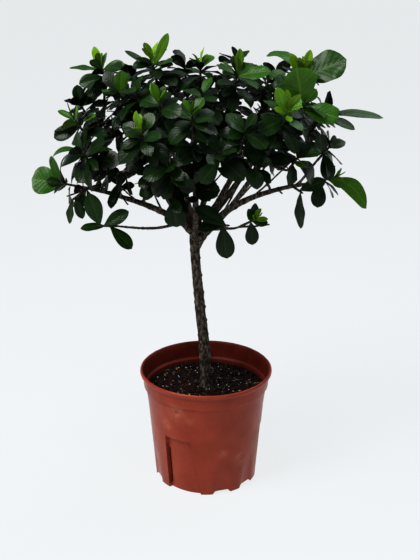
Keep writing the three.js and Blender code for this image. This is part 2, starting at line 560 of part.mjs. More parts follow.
/** Grows one leaf in the first way that clears every other piece, and its own spray's other blades. */
function growLeaf(leaf, owner, pieces, blades) {
  for (const bend of BENDS) {
    const wide = boxed(bladeSolid(leaf, bend, CLEAR), owner);
    if (pieces.some((other) => other.owner !== owner && touches(wide, other))) continue;
    const blade = boxed(bladeSolid(leaf, bend, 0, 0.2), owner);
    if (blades.some((other) => other.owner === owner && touches(blade, other))) continue;
    const whole = bladeSolid(leaf, bend);
    pieces.push(boxed(whole, owner));
    blades.push(blade);
    return whole;
  }
  return null;
}

function growCrown(wood) {
  const pieces = [boxed(wood, "wood")];
  const blades = [];
  const parts = new Map();
  const jobs = [[], [], []];
  Object.entries(SPRAYS).forEach(([name, spray], index) => {
    const { tip, base } = sprayFrame(spray);
    parts.set(`spray_${name}`, [tapered(new THREE.LineCurve3(base, tip), SPRAY_RADII, TWIG_SIDES, 1)]);
    const set = (spray.big ?? []).length;
    sprayLeaves(spray, index).forEach((leaf, k) =>
      jobs[k < set ? 1 : 2].push([`spray_${name}`, leaf]));
    if (!spray.shoot) return;
    parts.set(`shoot_${name}`, []);
    for (const leaf of shootLeaves(spray, index)) jobs[0].push([`shoot_${name}`, leaf]);
  });
  for (const [name, stems] of parts) for (const stem of stems) pieces.push(boxed(stem, name));
  for (const [name, leaf] of jobs.flat()) {
    const grown = growLeaf(leaf, name, pieces, blades);
    if (grown) parts.get(name).push(grown);
  }
  return parts;
}

// ---------------------------------------------------------------- the plant

const FINISHES = {
  pot: { color: 0x9a4433, roughness: 0.45, metalness: 0 },
  soil: { color: 0x1f1712, roughness: 0.95, metalness: 0 },
  wood: { color: 0x5a5044, roughness: 0.85, metalness: 0 },
  spray: { color: 0x1f3a1c, roughness: 0.35, metalness: 0 },
  shoot: { color: 0x6a9420, roughness: 0.4, metalness: 0 },
};

const plant = new THREE.Group();
function place(name, made, finish) {
  const mesh = new THREE.Mesh(geometryOf(made), new THREE.MeshStandardMaterial(FINISHES[finish]));
  mesh.name = name;
  plant.add(mesh);
}

const wood = woodSolid();
const stemHole = tapered(bezier(STEM), STEM_RADII.map((radius) => radius + GAP), STEM_SIDES, STEM_STEPS);
place("pot", potSolid(), "pot");
place("soil", soilSolid(stemHole), "soil");
place("wood", wood, "wood");
for (const [name, pieces] of growCrown(wood)) place(name, joined(pieces), name.split("_")[0]);

export default plant;
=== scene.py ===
"""A gardenia grown as a small standard tree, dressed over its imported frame.

The frame's pot, compost, wood, sprays and young shoots are each replaced by a finer piece of the same form.
Further leaves along the twigs, and the loose bits on the compost, are added.
Sizes are millimetres in this script, and every finished mesh is turned to metres when it is made.
"""
import logging
import math
import random
from collections.abc import Sequence
from dataclasses import dataclass, field
from enum import Enum, IntEnum

import bpy
import numpy as np
from mathutils import Euler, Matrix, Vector, noise


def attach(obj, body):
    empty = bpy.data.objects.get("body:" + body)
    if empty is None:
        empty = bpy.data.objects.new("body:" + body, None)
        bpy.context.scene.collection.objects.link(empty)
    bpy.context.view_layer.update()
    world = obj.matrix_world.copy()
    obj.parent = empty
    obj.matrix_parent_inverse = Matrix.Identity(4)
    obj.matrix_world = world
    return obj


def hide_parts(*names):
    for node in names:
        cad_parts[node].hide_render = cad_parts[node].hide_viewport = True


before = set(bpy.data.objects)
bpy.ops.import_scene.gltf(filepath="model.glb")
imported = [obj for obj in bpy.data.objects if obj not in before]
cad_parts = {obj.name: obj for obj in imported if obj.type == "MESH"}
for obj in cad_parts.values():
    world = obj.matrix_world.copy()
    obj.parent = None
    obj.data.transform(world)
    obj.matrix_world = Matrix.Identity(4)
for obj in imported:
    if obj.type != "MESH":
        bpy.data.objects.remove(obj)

log = logging.getLogger("gardenia")

MM = 0.001
Triple = tuple[float, float, float]
Pair = tuple[float, float]


class Slot(Enum):
    """The record's material slots."""

    POT = "pot_plastic"
    COMPOST = "compost"
    BARK = "bark"
    LEAF = "leaf"
    YOUNG_LEAF = "young_leaf"


class Skin(IntEnum):
    """The materials of a piece of foliage, in their order on it."""

    UPPER = 0
    UNDER = 1
    STEM = 2
    WITHERED = 3


# ---------------- small tools


def linear(code: str) -> tuple[float, float, float, float]:
    """Turns a colour from sRGB to linear.

    Args:
        code: the colour as six hex digits, with or without a leading #.

    Returns:
        Linear red, green, blue and an alpha of 1.
    """
    digits = code.lstrip("#")
    shares = [int(digits[k:k + 2], 16) / 255 for k in (0, 2, 4)]
    turned = [c / 12.92 if c <= 0.04045 else ((c + 0.055) / 1.055) ** 2.4 for c in shares]
    return (*turned, 1.0)


def per_mm(size: float) -> float:
    """The scale of a pattern on Object coordinates whose features are this many millimetres."""
    return 1 / (size * MM)


def add_node(tree: bpy.types.NodeTree, kind: str, inputs: dict | None = None,
             ramp: Sequence[tuple[float, str]] = (), **settings) -> bpy.types.Node:
    """Adds a node with its settings and links.

    Args:
        tree: the material's or world's node tree.
        kind: the node's Blender type.
        inputs: values for its sockets, or the sockets that feed them, by name or number.
        ramp: for a Color Ramp, its stops as place and hex colour.
        **settings: the node's own properties.

    Returns:
        The node.
    """
    node = tree.nodes.new(kind)
    for name, value in settings.items():
        setattr(node, name, value)
    for name, value in (inputs or {}).items():
        if isinstance(value, bpy.types.NodeSocket):
            tree.links.new(value, node.inputs[name])
        else:
            node.inputs[name].default_value = value
    for k, (place, colour) in enumerate(ramp):
        stops = node.color_ramp.elements
        stop = stops[k] if k < 2 else stops.new(place)
        stop.position = place
        stop.color = linear(colour)
    return node


MIX_A, MIX_B, MIX_COLOUR = 6, 7, 2  # a Mix node's colour sockets, and its colour output


def draw(*keys: int) -> float:
    """A repeatable draw from 0 to 1 for one named thing, as in the frame's source.

    Args:
        *keys: whole numbers that name the thing.

    Returns:
        The draw.
    """
    strides = (7919, 104729, 1299709)
    n = 1 + sum((key + 1) * stride for key, stride in zip(keys, strides))
    for _ in range(3):
        n = n * 16807 % 2147483647
    return n / 2147483647


def spread(middle: float, reach: float, *keys: int) -> float:
    """A repeatable draw within reach of a middle value."""
    return middle + reach * (2 * draw(*keys) - 1)


def vec(triple: Sequence[float]) -> np.ndarray:
    """A vector from three numbers."""
    return np.array(triple, dtype=float)


def unit(v: np.ndarray) -> np.ndarray:
    """A vector of length 1 along v."""
    return v / np.linalg.norm(v)


def turned(v: np.ndarray, axis: np.ndarray, degrees: float) -> np.ndarray:
    """v turned about an axis of length 1.

    Args:
        v: a vector.
        axis: the axis.
        degrees: how far, right-handed.

    Returns:
        The turned vector.
    """
    angle = math.radians(degrees)
    return (v * math.cos(angle) + np.cross(axis, v) * math.sin(angle)
            + axis * np.dot(axis, v) * (1 - math.cos(angle)))


def square_to(along: np.ndarray) -> tuple[np.ndarray, np.ndarray]:
    """Two directions square to a stem and to each other.

    Args:
        along: the stem's direction.

    Returns:
        The two directions.
    """
    away = vec((0, 0, 1)) if abs(along[2]) < 0.85 else vec((1, 0, 0))
    side = unit(np.cross(along, away))
    return side, np.cross(side, along)


def bezier(route: Sequence[Sequence[float]], t: float) -> np.ndarray:
    """The point of a cubic Bezier curve at t.

    Args:
        route: the curve's four points.
        t: from 0 at its start to 1 at its end.

    Returns:
        The point.
    """
    a, b, c, d = (vec(p) for p in route)
    s = 1 - t
    return s ** 3 * a + 3 * s * s * t * b + 3 * s * t * t * c + t ** 3 * d


def bezier_way(route: Sequence[Sequence[float]], t: float) -> np.ndarray:
    """The direction of a cubic Bezier curve at t.

    Args:
        route: the curve's four points.
        t: from 0 at its start to 1 at its end.

    Returns:
        The direction.
    """
    a, b, c, d = (vec(p) for p in route)
    s = 1 - t
    return unit(3 * s * s * (b - a) + 6 * s * t * (c - b) + 3 * t * t * (d - c))


def select_only(*objects: bpy.types.Object) -> None:
    """Selects these objects alone, the last of them active.

    Args:
        *objects: the objects.
    """
    bpy.ops.object.select_all(action="DESELECT")
    for obj in objects:
        obj.select_set(True)
    bpy.context.view_layer.objects.active = objects[-1]


def apply_modifier(obj: bpy.types.Object, kind: str, **settings) -> None:
    """Adds a modifier to an object, sets it and applies it.

    Args:
        obj: the object.
        kind: the modifier's Blender type.
        **settings: its properties.
    """
    select_only(obj)
    modifier = obj.modifiers.new(kind.lower(), kind)
    for name, value in settings.items():
        setattr(modifier, name, value)
    bpy.ops.object.modifier_apply(modifier=modifier.name)


def coordinates(mesh: bpy.types.Mesh) -> np.ndarray:
    """A mesh's points as rows of x, y, z.

    Args:
        mesh: the mesh.

    Returns:
        The rows.
    """
    flat = np.empty(len(mesh.vertices) * 3)
    mesh.vertices.foreach_get("co", flat)
    return flat.reshape(-1, 3)


def move_points(mesh: bpy.types.Mesh, points: np.ndarray) -> None:
    """Puts a mesh's points at these places."""
    mesh.vertices.foreach_set("co", np.ascontiguousarray(points, dtype=float).ravel())
    mesh.update()


def in_metres(obj: bpy.types.Object) -> None:
    """Turns a mesh that was modelled in millimetres to metres."""
    move_points(obj.data, coordinates(obj.data) * MM)


def smooth(obj: bpy.types.Object, degrees: float) -> None:
    """Shades a piece smoothly, apart from edges sharper than this."""
    select_only(obj)
    bpy.ops.object.shade_smooth_by_angle(angle=math.radians(degrees))


def keep(obj: bpy.types.Object, name: str, slot: Slot, *nodes: str) -> None:
    """Names a finished piece, carries it on the body and says which nodes it replaces.

    Args:
        obj: the piece.
        name: its name.
        slot: not used; the material slot it takes its finish from.
        *nodes: the nodes that it replaces.
    """
    obj.name = name
    obj.data.name = name
    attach(obj, "root")
    if nodes:
        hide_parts(*nodes)
    log.info("%s: %d faces", name, len(obj.data.polygons))


# ---------------- finishes


@dataclass(frozen=True)
class Finish:
    """A material with a Principled shader, to be coloured by its own kind.

    Attributes:
        name: the real material and how its surface was made.
        roughness: how much its gloss is spread.
        ior: how strongly it bends light.
        gloss: how strongly it reflects, where 0.5 is a plain polished surface.
    """

    name: str
    roughness: float
    ior: float = 1.5
    gloss: float = 0.5

    def begun(self) -> tuple[bpy.types.Material, bpy.types.NodeTree, bpy.types.Node]:
        """Starts the material.

        Returns:
            The material, its node tree and its Principled shader.
        """
        material = bpy.data.materials.new(self.name)
        material.use_nodes = True
        tree = material.node_tree
        shader = tree.nodes["Principled BSDF"]
        shader.inputs["Roughness"].default_value = self.roughness
        shader.inputs["IOR"].default_value = self.ior
        shader.inputs["Specular IOR Level"].default_value = self.gloss
        return material, tree, shader


@dataclass(frozen=True)
class MouldedPlastic(Finish):
    """Injection-moulded polypropylene, brick red: an even body colour with a satin gloss.

    Handling leaves it cloudy, with pale rubbed patches, and the mould leaves very faint level rings.
    """

    body: str = "#993e27"
    shade: str = "#86321d"
    rubbed: str = "#bb7a60"
    cloud: float = 30  # mm across a cloudy patch
    ring: float = 5  # mm between mould rings
    grain: float = 0.8  # mm: the real one is finer, but would not show
    streak: float = 9  # mm across the streaks that break up a rubbed patch
    rubs: tuple[tuple[Triple, float], ...] = (
        ((-38, -70, 118), 20), ((-52, -58, 96), 13), ((-20, -78, 108), 10), ((44, -60, 48), 17),
        ((22, -72, 60), 12), ((-66, -38, 60), 14))

    def build(self) -> bpy.types.Material:
        """Makes the material.

        Returns:
            The material.
        """
        material, tree, shader = self.begun()
        place = add_node(tree, "ShaderNodeTexCoord").outputs["Object"]
        clouds = add_node(tree, "ShaderNodeTexNoise", {
            "Vector": place, "Scale": per_mm(self.cloud), "Detail": 4, "Roughness": 0.6}).outputs["Fac"]
        tint = add_node(tree, "ShaderNodeValToRGB", {"Fac": clouds},
                        ramp=((0.3, self.shade), (0.7, self.body))).outputs["Color"]
        worn = self.rubbed_places(tree, place)
        colour = add_node(tree, "ShaderNodeMix", {0: worn, MIX_A: tint, MIX_B: linear(self.rubbed)},
                          data_type="RGBA").outputs[MIX_COLOUR]
        rings = add_node(tree, "ShaderNodeTexWave", {
            "Vector": place, "Scale": per_mm(self.ring) / 20, "Distortion": 0.4, "Detail": 1},
            bands_direction="Z").outputs["Fac"]
        grain = add_node(tree, "ShaderNodeTexNoise", {
            "Vector": place, "Scale": per_mm(self.grain), "Detail": 2}).outputs["Fac"]
        height = add_node(tree, "ShaderNodeMath", {0: rings, 1: 0.5, 2: grain},
                          operation="MULTIPLY_ADD").outputs[0]
        bump = add_node(tree, "ShaderNodeBump", {"Height": height, "Strength": 0.12, "Distance": 0.2 * MM})
        gloss = add_node(tree, "ShaderNodeMapRange", {
            "Value": clouds, "From Min": 0.3, "From Max": 0.7, "To Min": self.roughness + 0.1,
            "To Max": self.roughness - 0.04}).outputs[0]
        tree.links.new(colour, shader.inputs["Base Color"])
        tree.links.new(gloss, shader.inputs["Roughness"])
        tree.links.new(bump.outputs["Normal"], shader.inputs["Normal"])
        return material

    def rubbed_places(self, tree: bpy.types.NodeTree, place: bpy.types.NodeSocket) -> bpy.types.NodeSocket:
        """A mask that is high where the plastic was rubbed.

        Args:
            tree: the material's nodes.
            place: Object coordinates.

        Returns:
            The socket of the mask.
        """
        streaks = add_node(tree, "ShaderNodeTexNoise", {
            "Vector": place, "Scale": per_mm(self.streak), "Detail": 6, "Roughness": 0.7,
            "Distortion": 0.6}).outputs["Fac"]
        total = add_node(tree, "ShaderNodeMath", {0: 0.0, 1: 0.0}, operation="ADD").outputs[0]
        for centre, reach in self.rubs:
            far = add_node(tree, "ShaderNodeVectorMath", {
                0: place, 1: tuple(c * MM for c in centre)}, operation="DISTANCE").outputs["Value"]
            near = add_node(tree, "ShaderNodeMapRange", {
                "Value": far, "From Min": reach * MM, "From Max": 0.0, "To Min": 0.0, "To Max": 1.0},
                interpolation_type="SMOOTHSTEP").outputs[0]
            total = add_node(tree, "ShaderNodeMath", {0: total, 1: near}, operation="ADD").outputs[0]
        patchy = add_node(tree, "ShaderNodeMapRange", {
            "Value": streaks, "From Min": 0.42, "From Max": 0.72}).outputs[0]
        both = add_node(tree, "ShaderNodeMath", {0: total, 1: patchy}, operation="MULTIPLY").outputs[0]
        return add_node(tree, "ShaderNodeMath", {0: both, 1: 0.75}, operation="MULTIPLY",
                        use_clamp=True).outputs[0]


@dataclass(frozen=True)
class Mottled(Finish):
    """A rough natural stuff of three colours in patches, with a bump as coarse as its patches.

    Attributes:
        colours: dark, middle and light.
        patch: how many millimetres its patches are across.
        stretch: how much longer its patches are up and down.
        relief: the bump's depth in millimetres.
    """

    colours: tuple[str, str, str] = ("#000000", "#808080", "#ffffff")
    patch: float = 3
    stretch: float = 1
    relief: float = 0.5

    def build(self) -> bpy.types.Material:
        """Makes the material.

        Returns:
            The material.
        """
        material, tree, shader = self.begun()
        place = add_node(tree, "ShaderNodeTexCoord").outputs["Object"]
        drawn = add_node(tree, "ShaderNodeMapping", {
            "Vector": place, "Scale": (1, 1, 1 / self.stretch)}).outputs["Vector"]
        patches = add_node(tree, "ShaderNodeTexNoise", {
            "Vector": drawn, "Scale": per_mm(self.patch), "Detail": 6, "Roughness": 0.65}).outputs["Fac"]
        dark, middle, light = self.colours
        colour = add_node(tree, "ShaderNodeValToRGB", {"Fac": patches},
                          ramp=((0.36, dark), (0.66, light), (0.5, middle))).outputs["Color"]
        bump = add_node(tree, "ShaderNodeBump", {
            "Height": patches, "Strength": 0.8, "Distance": self.relief * MM})
        tree.links.new(colour, shader.inputs["Base Color"])
        tree.links.new(bump.outputs["Normal"], shader.inputs["Normal"])
        return material


@dataclass(frozen=True)
class LeafSkin(Finish):
    """A leaf's waxy skin: its colour goes by the leaf's age, with a pale midrib and arching side veins.

    The blade swells a little between its veins, which breaks the gloss up as on the real leaf. A blade's own
    map runs across it and along it, so the veins follow every leaf.

    Attributes:
        ages: colours from the oldest leaf to the youngest.
        vein: the veins' colour on a young leaf.
        vein_share: how strongly the veins show.
        vein_pairs: how many side veins a blade has down each half.
        relief: how high the blade swells between veins, in millimetres.
        blotch: how many millimetres its lighter and darker patches are across.
    """

    ages: tuple[str, ...] = ("#0a1808", "#142f0c", "#2a5410", "#47720f", "#648c12")
    vein: str = "#7fa032"
    vein_share: float = 0.4
    vein_pairs: float = 8
    relief: float = 0.2
    blotch: float = 7

    def build(self) -> bpy.types.Material:
        """Makes the material.

        Returns:
            The material.
        """
        material, tree, shader = self.begun()
        age = add_node(tree, "ShaderNodeAttribute", attribute_name="age").outputs["Fac"]
        luck = add_node(tree, "ShaderNodeAttribute", attribute_name="luck").outputs["Fac"]
        place = add_node(tree, "ShaderNodeTexCoord")
        last = len(self.ages) - 1
        stops = [(0.0, self.ages[0]), (1.0, self.ages[last])]
        stops += [(k / last, self.ages[k]) for k in range(1, last)]
        body = add_node(tree, "ShaderNodeValToRGB", {"Fac": age}, ramp=stops).outputs["Color"]
        blotch = add_node(tree, "ShaderNodeTexNoise", {
            "Vector": place.outputs["Object"], "Scale": per_mm(self.blotch), "Detail": 3}).outputs["Fac"]
        wander = add_node(tree, "ShaderNodeMath", {0: luck, 1: 0.7, 2: blotch},
                          operation="MULTIPLY_ADD").outputs[0]
        value = add_node(tree, "ShaderNodeMapRange", {
            "Value": wander, "From Min": 0.35, "From Max": 1.35, "To Min": 0.72, "To Max": 1.3}).outputs[0]
        varied = add_node(tree, "ShaderNodeHueSaturation", {"Color": body, "Value": value}).outputs["Color"]
        veins, swell = self.veins(tree, place.outputs["UV"])
        shown = add_node(tree, "ShaderNodeMapRange", {
            "Value": age, "From Min": 0.2, "From Max": 1.0,
            "To Min": 0.05, "To Max": self.vein_share}).outputs[0]
        mask = add_node(tree, "ShaderNodeMath", {0: veins, 1: shown}, operation="MULTIPLY").outputs[0]
        colour = add_node(tree, "ShaderNodeMix", {0: mask, MIX_A: varied, MIX_B: linear(self.vein)},
                          data_type="RGBA").outputs[MIX_COLOUR]
        bump = add_node(tree, "ShaderNodeBump", {
            "Height": swell, "Strength": 0.36, "Distance": self.relief * MM})
        tree.links.new(colour, shader.inputs["Base Color"])
        tree.links.new(bump.outputs["Normal"], shader.inputs["Normal"])
        return material

    def veins(self, tree: bpy.types.NodeTree,
              blade: bpy.types.NodeSocket) -> tuple[bpy.types.NodeSocket, bpy.types.NodeSocket]:
        """Draws the veins on the blade's own map.

        Args:
            tree: the material's nodes.
            blade: the map: across the blade in its first number, along it in its second.

        Returns:
            A mask of the veins, and how far the blade swells between them.
        """
        parts = add_node(tree, "ShaderNodeSeparateXYZ", {0: blade})
        across = add_node(tree, "ShaderNodeMath", {0: parts.outputs[0], 1: 2.0, 2: -1.0},
                          operation="MULTIPLY_ADD").outputs[0]
        out = add_node(tree, "ShaderNodeMath", {0: across}, operation="ABSOLUTE").outputs[0]
        arch = add_node(tree, "ShaderNodeMath", {0: out, 1: 0.8}, operation="POWER").outputs[0]
        back = add_node(tree, "ShaderNodeMath", {0: arch, 1: -0.3, 2: parts.outputs[1]},
                        operation="MULTIPLY_ADD").outputs[0]
        count = add_node(tree, "ShaderNodeMath", {0: back, 1: self.vein_pairs},
                         operation="MULTIPLY").outputs[0]
        gap = add_node(tree, "ShaderNodeMath", {0: count, 1: 0.5}, operation="PINGPONG").outputs[0]
        side = add_node(tree, "ShaderNodeMapRange", {
            "Value": gap, "From Min": 0.1, "From Max": 0.02}, interpolation_type="SMOOTHSTEP").outputs[0]
        rib = add_node(tree, "ShaderNodeMapRange", {
            "Value": out, "From Min": 0.1, "From Max": 0.03}, interpolation_type="SMOOTHSTEP").outputs[0]
        lines = add_node(tree, "ShaderNodeMath", {0: side, 1: 0.55, 2: rib}, operation="MULTIPLY_ADD",
                         use_clamp=True).outputs[0]
        puff = add_node(tree, "ShaderNodeMapRange", {
            "Value": gap, "From Min": 0.0, "From Max": 0.5}, interpolation_type="SMOOTHERSTEP").outputs[0]
        groove = add_node(tree, "ShaderNodeMath", {0: rib, 1: -1.0, 2: puff},
                          operation="MULTIPLY_ADD").outputs[0]
        return lines, groove


@dataclass(frozen=True)
class Finishes:
    """Every material of the plant and its pot."""

    # satin brick-red plastic that takes one soft highlight along the rim
    pot: MouldedPlastic = MouldedPlastic("moulded polypropylene, brick red", 0.28, gloss=0.24)
    # the same plastic, duller and darker, put inside the pot and on the steps beside the slits as painted
    # shade
    pot_painted_shade: MouldedPlastic = MouldedPlastic(
        "moulded polypropylene, darkened as painted shade", 0.4, gloss=0.2, body="#7c2a1b", shade="#54180e", rubs=())
    # damp peat: nearly black and dull, with a red-brown cast where it has dried
    compost: Mottled = Mottled(
        "damp peat compost", 0.8, gloss=0.12, colours=("#050303", "#130a08", "#35201a"), patch=1.7,
        relief=1.6)
    # peat that has dried to a red-brown crumb
    dry_peat: Mottled = Mottled(
        "dried peat crumbs", 0.9, gloss=0.1, colours=("#1a0c09", "#34180f", "#5a3023"), patch=1.4, relief=0.4)
    # expanded volcanic grain, chalk white with a grey shade
    perlite: Mottled = Mottled(
        "perlite grains", 0.8, gloss=0.2, colours=("#8d8579", "#cfcabf", "#efece4"), patch=1.2, relief=0.2)
    # composted conifer bark, tan to orange-brown
    chip: Mottled = Mottled(
        "bark chips", 0.8, gloss=0.2, colours=("#5b3218", "#99602f", "#bd8f58"), patch=3, relief=0.3)
    # coir fibre, pale and dry
    fibre: Mottled = Mottled(
        "coir fibres", 0.8, gloss=0.2, colours=("#4a3a2c", "#7a6650", "#a39279"), patch=4, relief=0.1)
    # old gardenia bark: grey-brown, finely cracked up and down
    bark: Mottled = Mottled(
        "gardenia bark", 0.85, gloss=0.15, colours=("#14110e", "#38322a", "#766c5e"), patch=3.2, stretch=2.2,
        relief=0.9)
    # a twig of this year's growth, green turning brown
    green_stem: Mottled = Mottled(
        "green twig bark", 0.6, gloss=0.3, colours=("#15170b", "#272c14", "#454525"), patch=3, stretch=2,
        relief=0.2)
    # waxy upper side, dark and glossy with a cold sheen on old leaves
    upper: LeafSkin = LeafSkin("waxy leaf, upper side", 0.29, gloss=0.17)
    # matt underside, a shade paler
    under: LeafSkin = LeafSkin("matt leaf, underside", 0.6, 1.4, 0.15,
                               ages=("#0e170e", "#162612", "#284a16", "#456b19", "#60841c"),
                               vein="#b3c46a", relief=0.3)
    # a dead leaf, rust brown and papery
    withered: LeafSkin = LeafSkin("withered leaf", 0.7, 1.4, 0.2, ages=("#3a1c0e", "#5f2f15"), vein="#8a5a34")


# ---------------- pot


@dataclass
class Pressings:
    """What is pressed into the pot's wall: three panels with an upright edge, and two flutes each.

    Degrees run round +Z within one third of the pot, from a panel's upright edge.
    """

    thirds: int = 3
    start: float = -135  # degrees from +X to the first panel's upright edge
    top: float = 78
    span_top: float = 29
    span_foot: float = 39
    deep: float = 4.6
    shallow: float = 3.3
    edge: Pair = (0.45, 0.35)  # degrees taken by the step at a panel's upright edge
    slit: Pair = (0.5, 2.5)  # degrees from that edge to the slit's two sides
    inside: int = 6  # faces across a panel
    ledge: float = 0.8  # height of the step along a panel's top
    flutes: Pair = (63, 96)
    flute_half: float = 10.5
    flute_top: float = 60
    flute_depth: float = 2.4
    narrowing: float = 0.6
    shares: tuple[float, ...] = (-1, -0.72, -0.38, 0, 0.38, 0.72, 1)
    notch: float = 0.75  # share of a flute's width that is cut out of the foot
    notch_top: float = 4

    def columns(self, z: float) -> list[float]:
        """Where the wall's upright lines of points stand at a height, in degrees within one third.

        Args:
            z: the height.

        Returns:
            The degrees, from a panel's upright edge round.
        """
        width = self.width(z)
        half = self.flute_half * (1 - self.narrowing * min(max(z / self.flute_top, 0), 1))
        near, far = self.slit
        panel = [-self.edge[0], self.edge[1], near]
        panel += [far + (width - 0.3 - far) * k / self.inside for k in range(self.inside + 1)]
        panel.append(width + 0.5)
        first, second = self.flutes
        ends = [(width + 0.5, first - half, 3), (first + half, second - half, 4),
                (second + half, 360 / self.thirds - self.edge[0], 3)]
        plain = [[a + (b - a) * k / n for k in range(1, n)] for a, b, n in ends]
        pressed = [[middle + half * share for share in self.shares] for middle in self.flutes]
        return panel + plain[0] + pressed[0] + plain[1] + pressed[1] + plain[2]

    def width(self, z: float) -> float:
        """A panel's width in degrees at a height."""
        share = min(max(z / self.top, 0), 1)
        return self.span_foot + (self.span_top - self.span_foot) * share

    def depths(self, z: float) -> list[float]:
        """How far each column is pressed in at a height.

        Args:
            z: the height.

        Returns:
            The depths, column by column.
        """
        columns = self.columns(z)
        width = self.width(z)
        last = self.inside + 3
        sunk = z <= self.top - self.ledge
        panel = [0.0] + [self.deep + (self.shallow - self.deep) * a / width if sunk else 0.0
                         for a in columns[1:last + 1]] + [0.0]
        depth = max((self.flute_depth + 0.4) * (1 - z / self.flute_top) - 0.4, 0)
        flute = [depth * (1 - abs(share) ** 3) for share in self.shares]
        return panel + [0.0] * 2 + flute + [0.0] * 3 + flute + [0.0] * 2

    def notched(self) -> list[bool]:
        """Which columns lose their foot under a flute."""
        flute = [abs(share) < self.notch for share in self.shares]
        return [False] * (self.inside + 5) + [False] * 2 + flute + [False] * 3 + flute + [False] * 2

    def press(self, points: np.ndarray, plain_inside: float) -> np.ndarray:
        """Moves the points of a spun wall to the columns, and presses the columns in.

        Args:
            points: the spun wall's points, in even columns.
            plain_inside: points nearer to the axis than this stay in even columns.

        Returns:
            The moved points.
        """
        count = len(self.columns(0))
        step = 2 * math.pi / (count * self.thirds)
        notched = self.notched()
        moved = points.copy()
        for k, (x, y, z) in enumerate(points):
            radius = math.hypot(x, y)
            if radius < plain_inside:
                angle = math.atan2(y, x) + math.radians(self.start)
                moved[k] = (radius * math.cos(angle), radius * math.sin(angle), z)
                continue
            third, column = divmod(round(math.atan2(y, x) / step) % (count * self.thirds), count)
            angle = math.radians(self.start + 360 / self.thirds * third + self.columns(z)[column])
            radius -= self.depths(z)[column]
            if notched[column] and z < self.notch_top:
                z = self.notch_top - (self.notch_top - z) * 0.08
            moved[k] = (radius * math.cos(angle), radius * math.sin(angle), z)
        return moved


def spun(outline: Sequence[Pair], steps: int) -> bpy.types.Object:
    """Spins an outline of radius and height round +Z into a closed shell.

    Args:
        outline: points that start and end on the axis.
        steps: how many columns the shell has.

    Returns:
        The shell, with its faces outwards.
    """
    bpy.ops.mesh.primitive_circle_add(vertices=len(outline), radius=1)
    shell = bpy.context.object
    move_points(shell.data, np.array([(r, 0.0, z) for r, z in outline]))
    bpy.ops.object.mode_set(mode="EDIT")
    bpy.ops.mesh.select_all(action="SELECT")
    bpy.ops.mesh.spin(steps=steps, angle=2 * math.pi, center=(0, 0, 0), axis=(0, 0, 1))
    bpy.ops.mesh.select_all(action="SELECT")
    bpy.ops.mesh.remove_doubles(threshold=1e-3)
    bpy.ops.mesh.delete_loose(use_verts=True, use_edges=True, use_faces=False)
    bpy.ops.mesh.select_all(action="SELECT")
    bpy.ops.mesh.normals_make_consistent(inside=False)
    bpy.ops.object.mode_set(mode="OBJECT")
    return shell


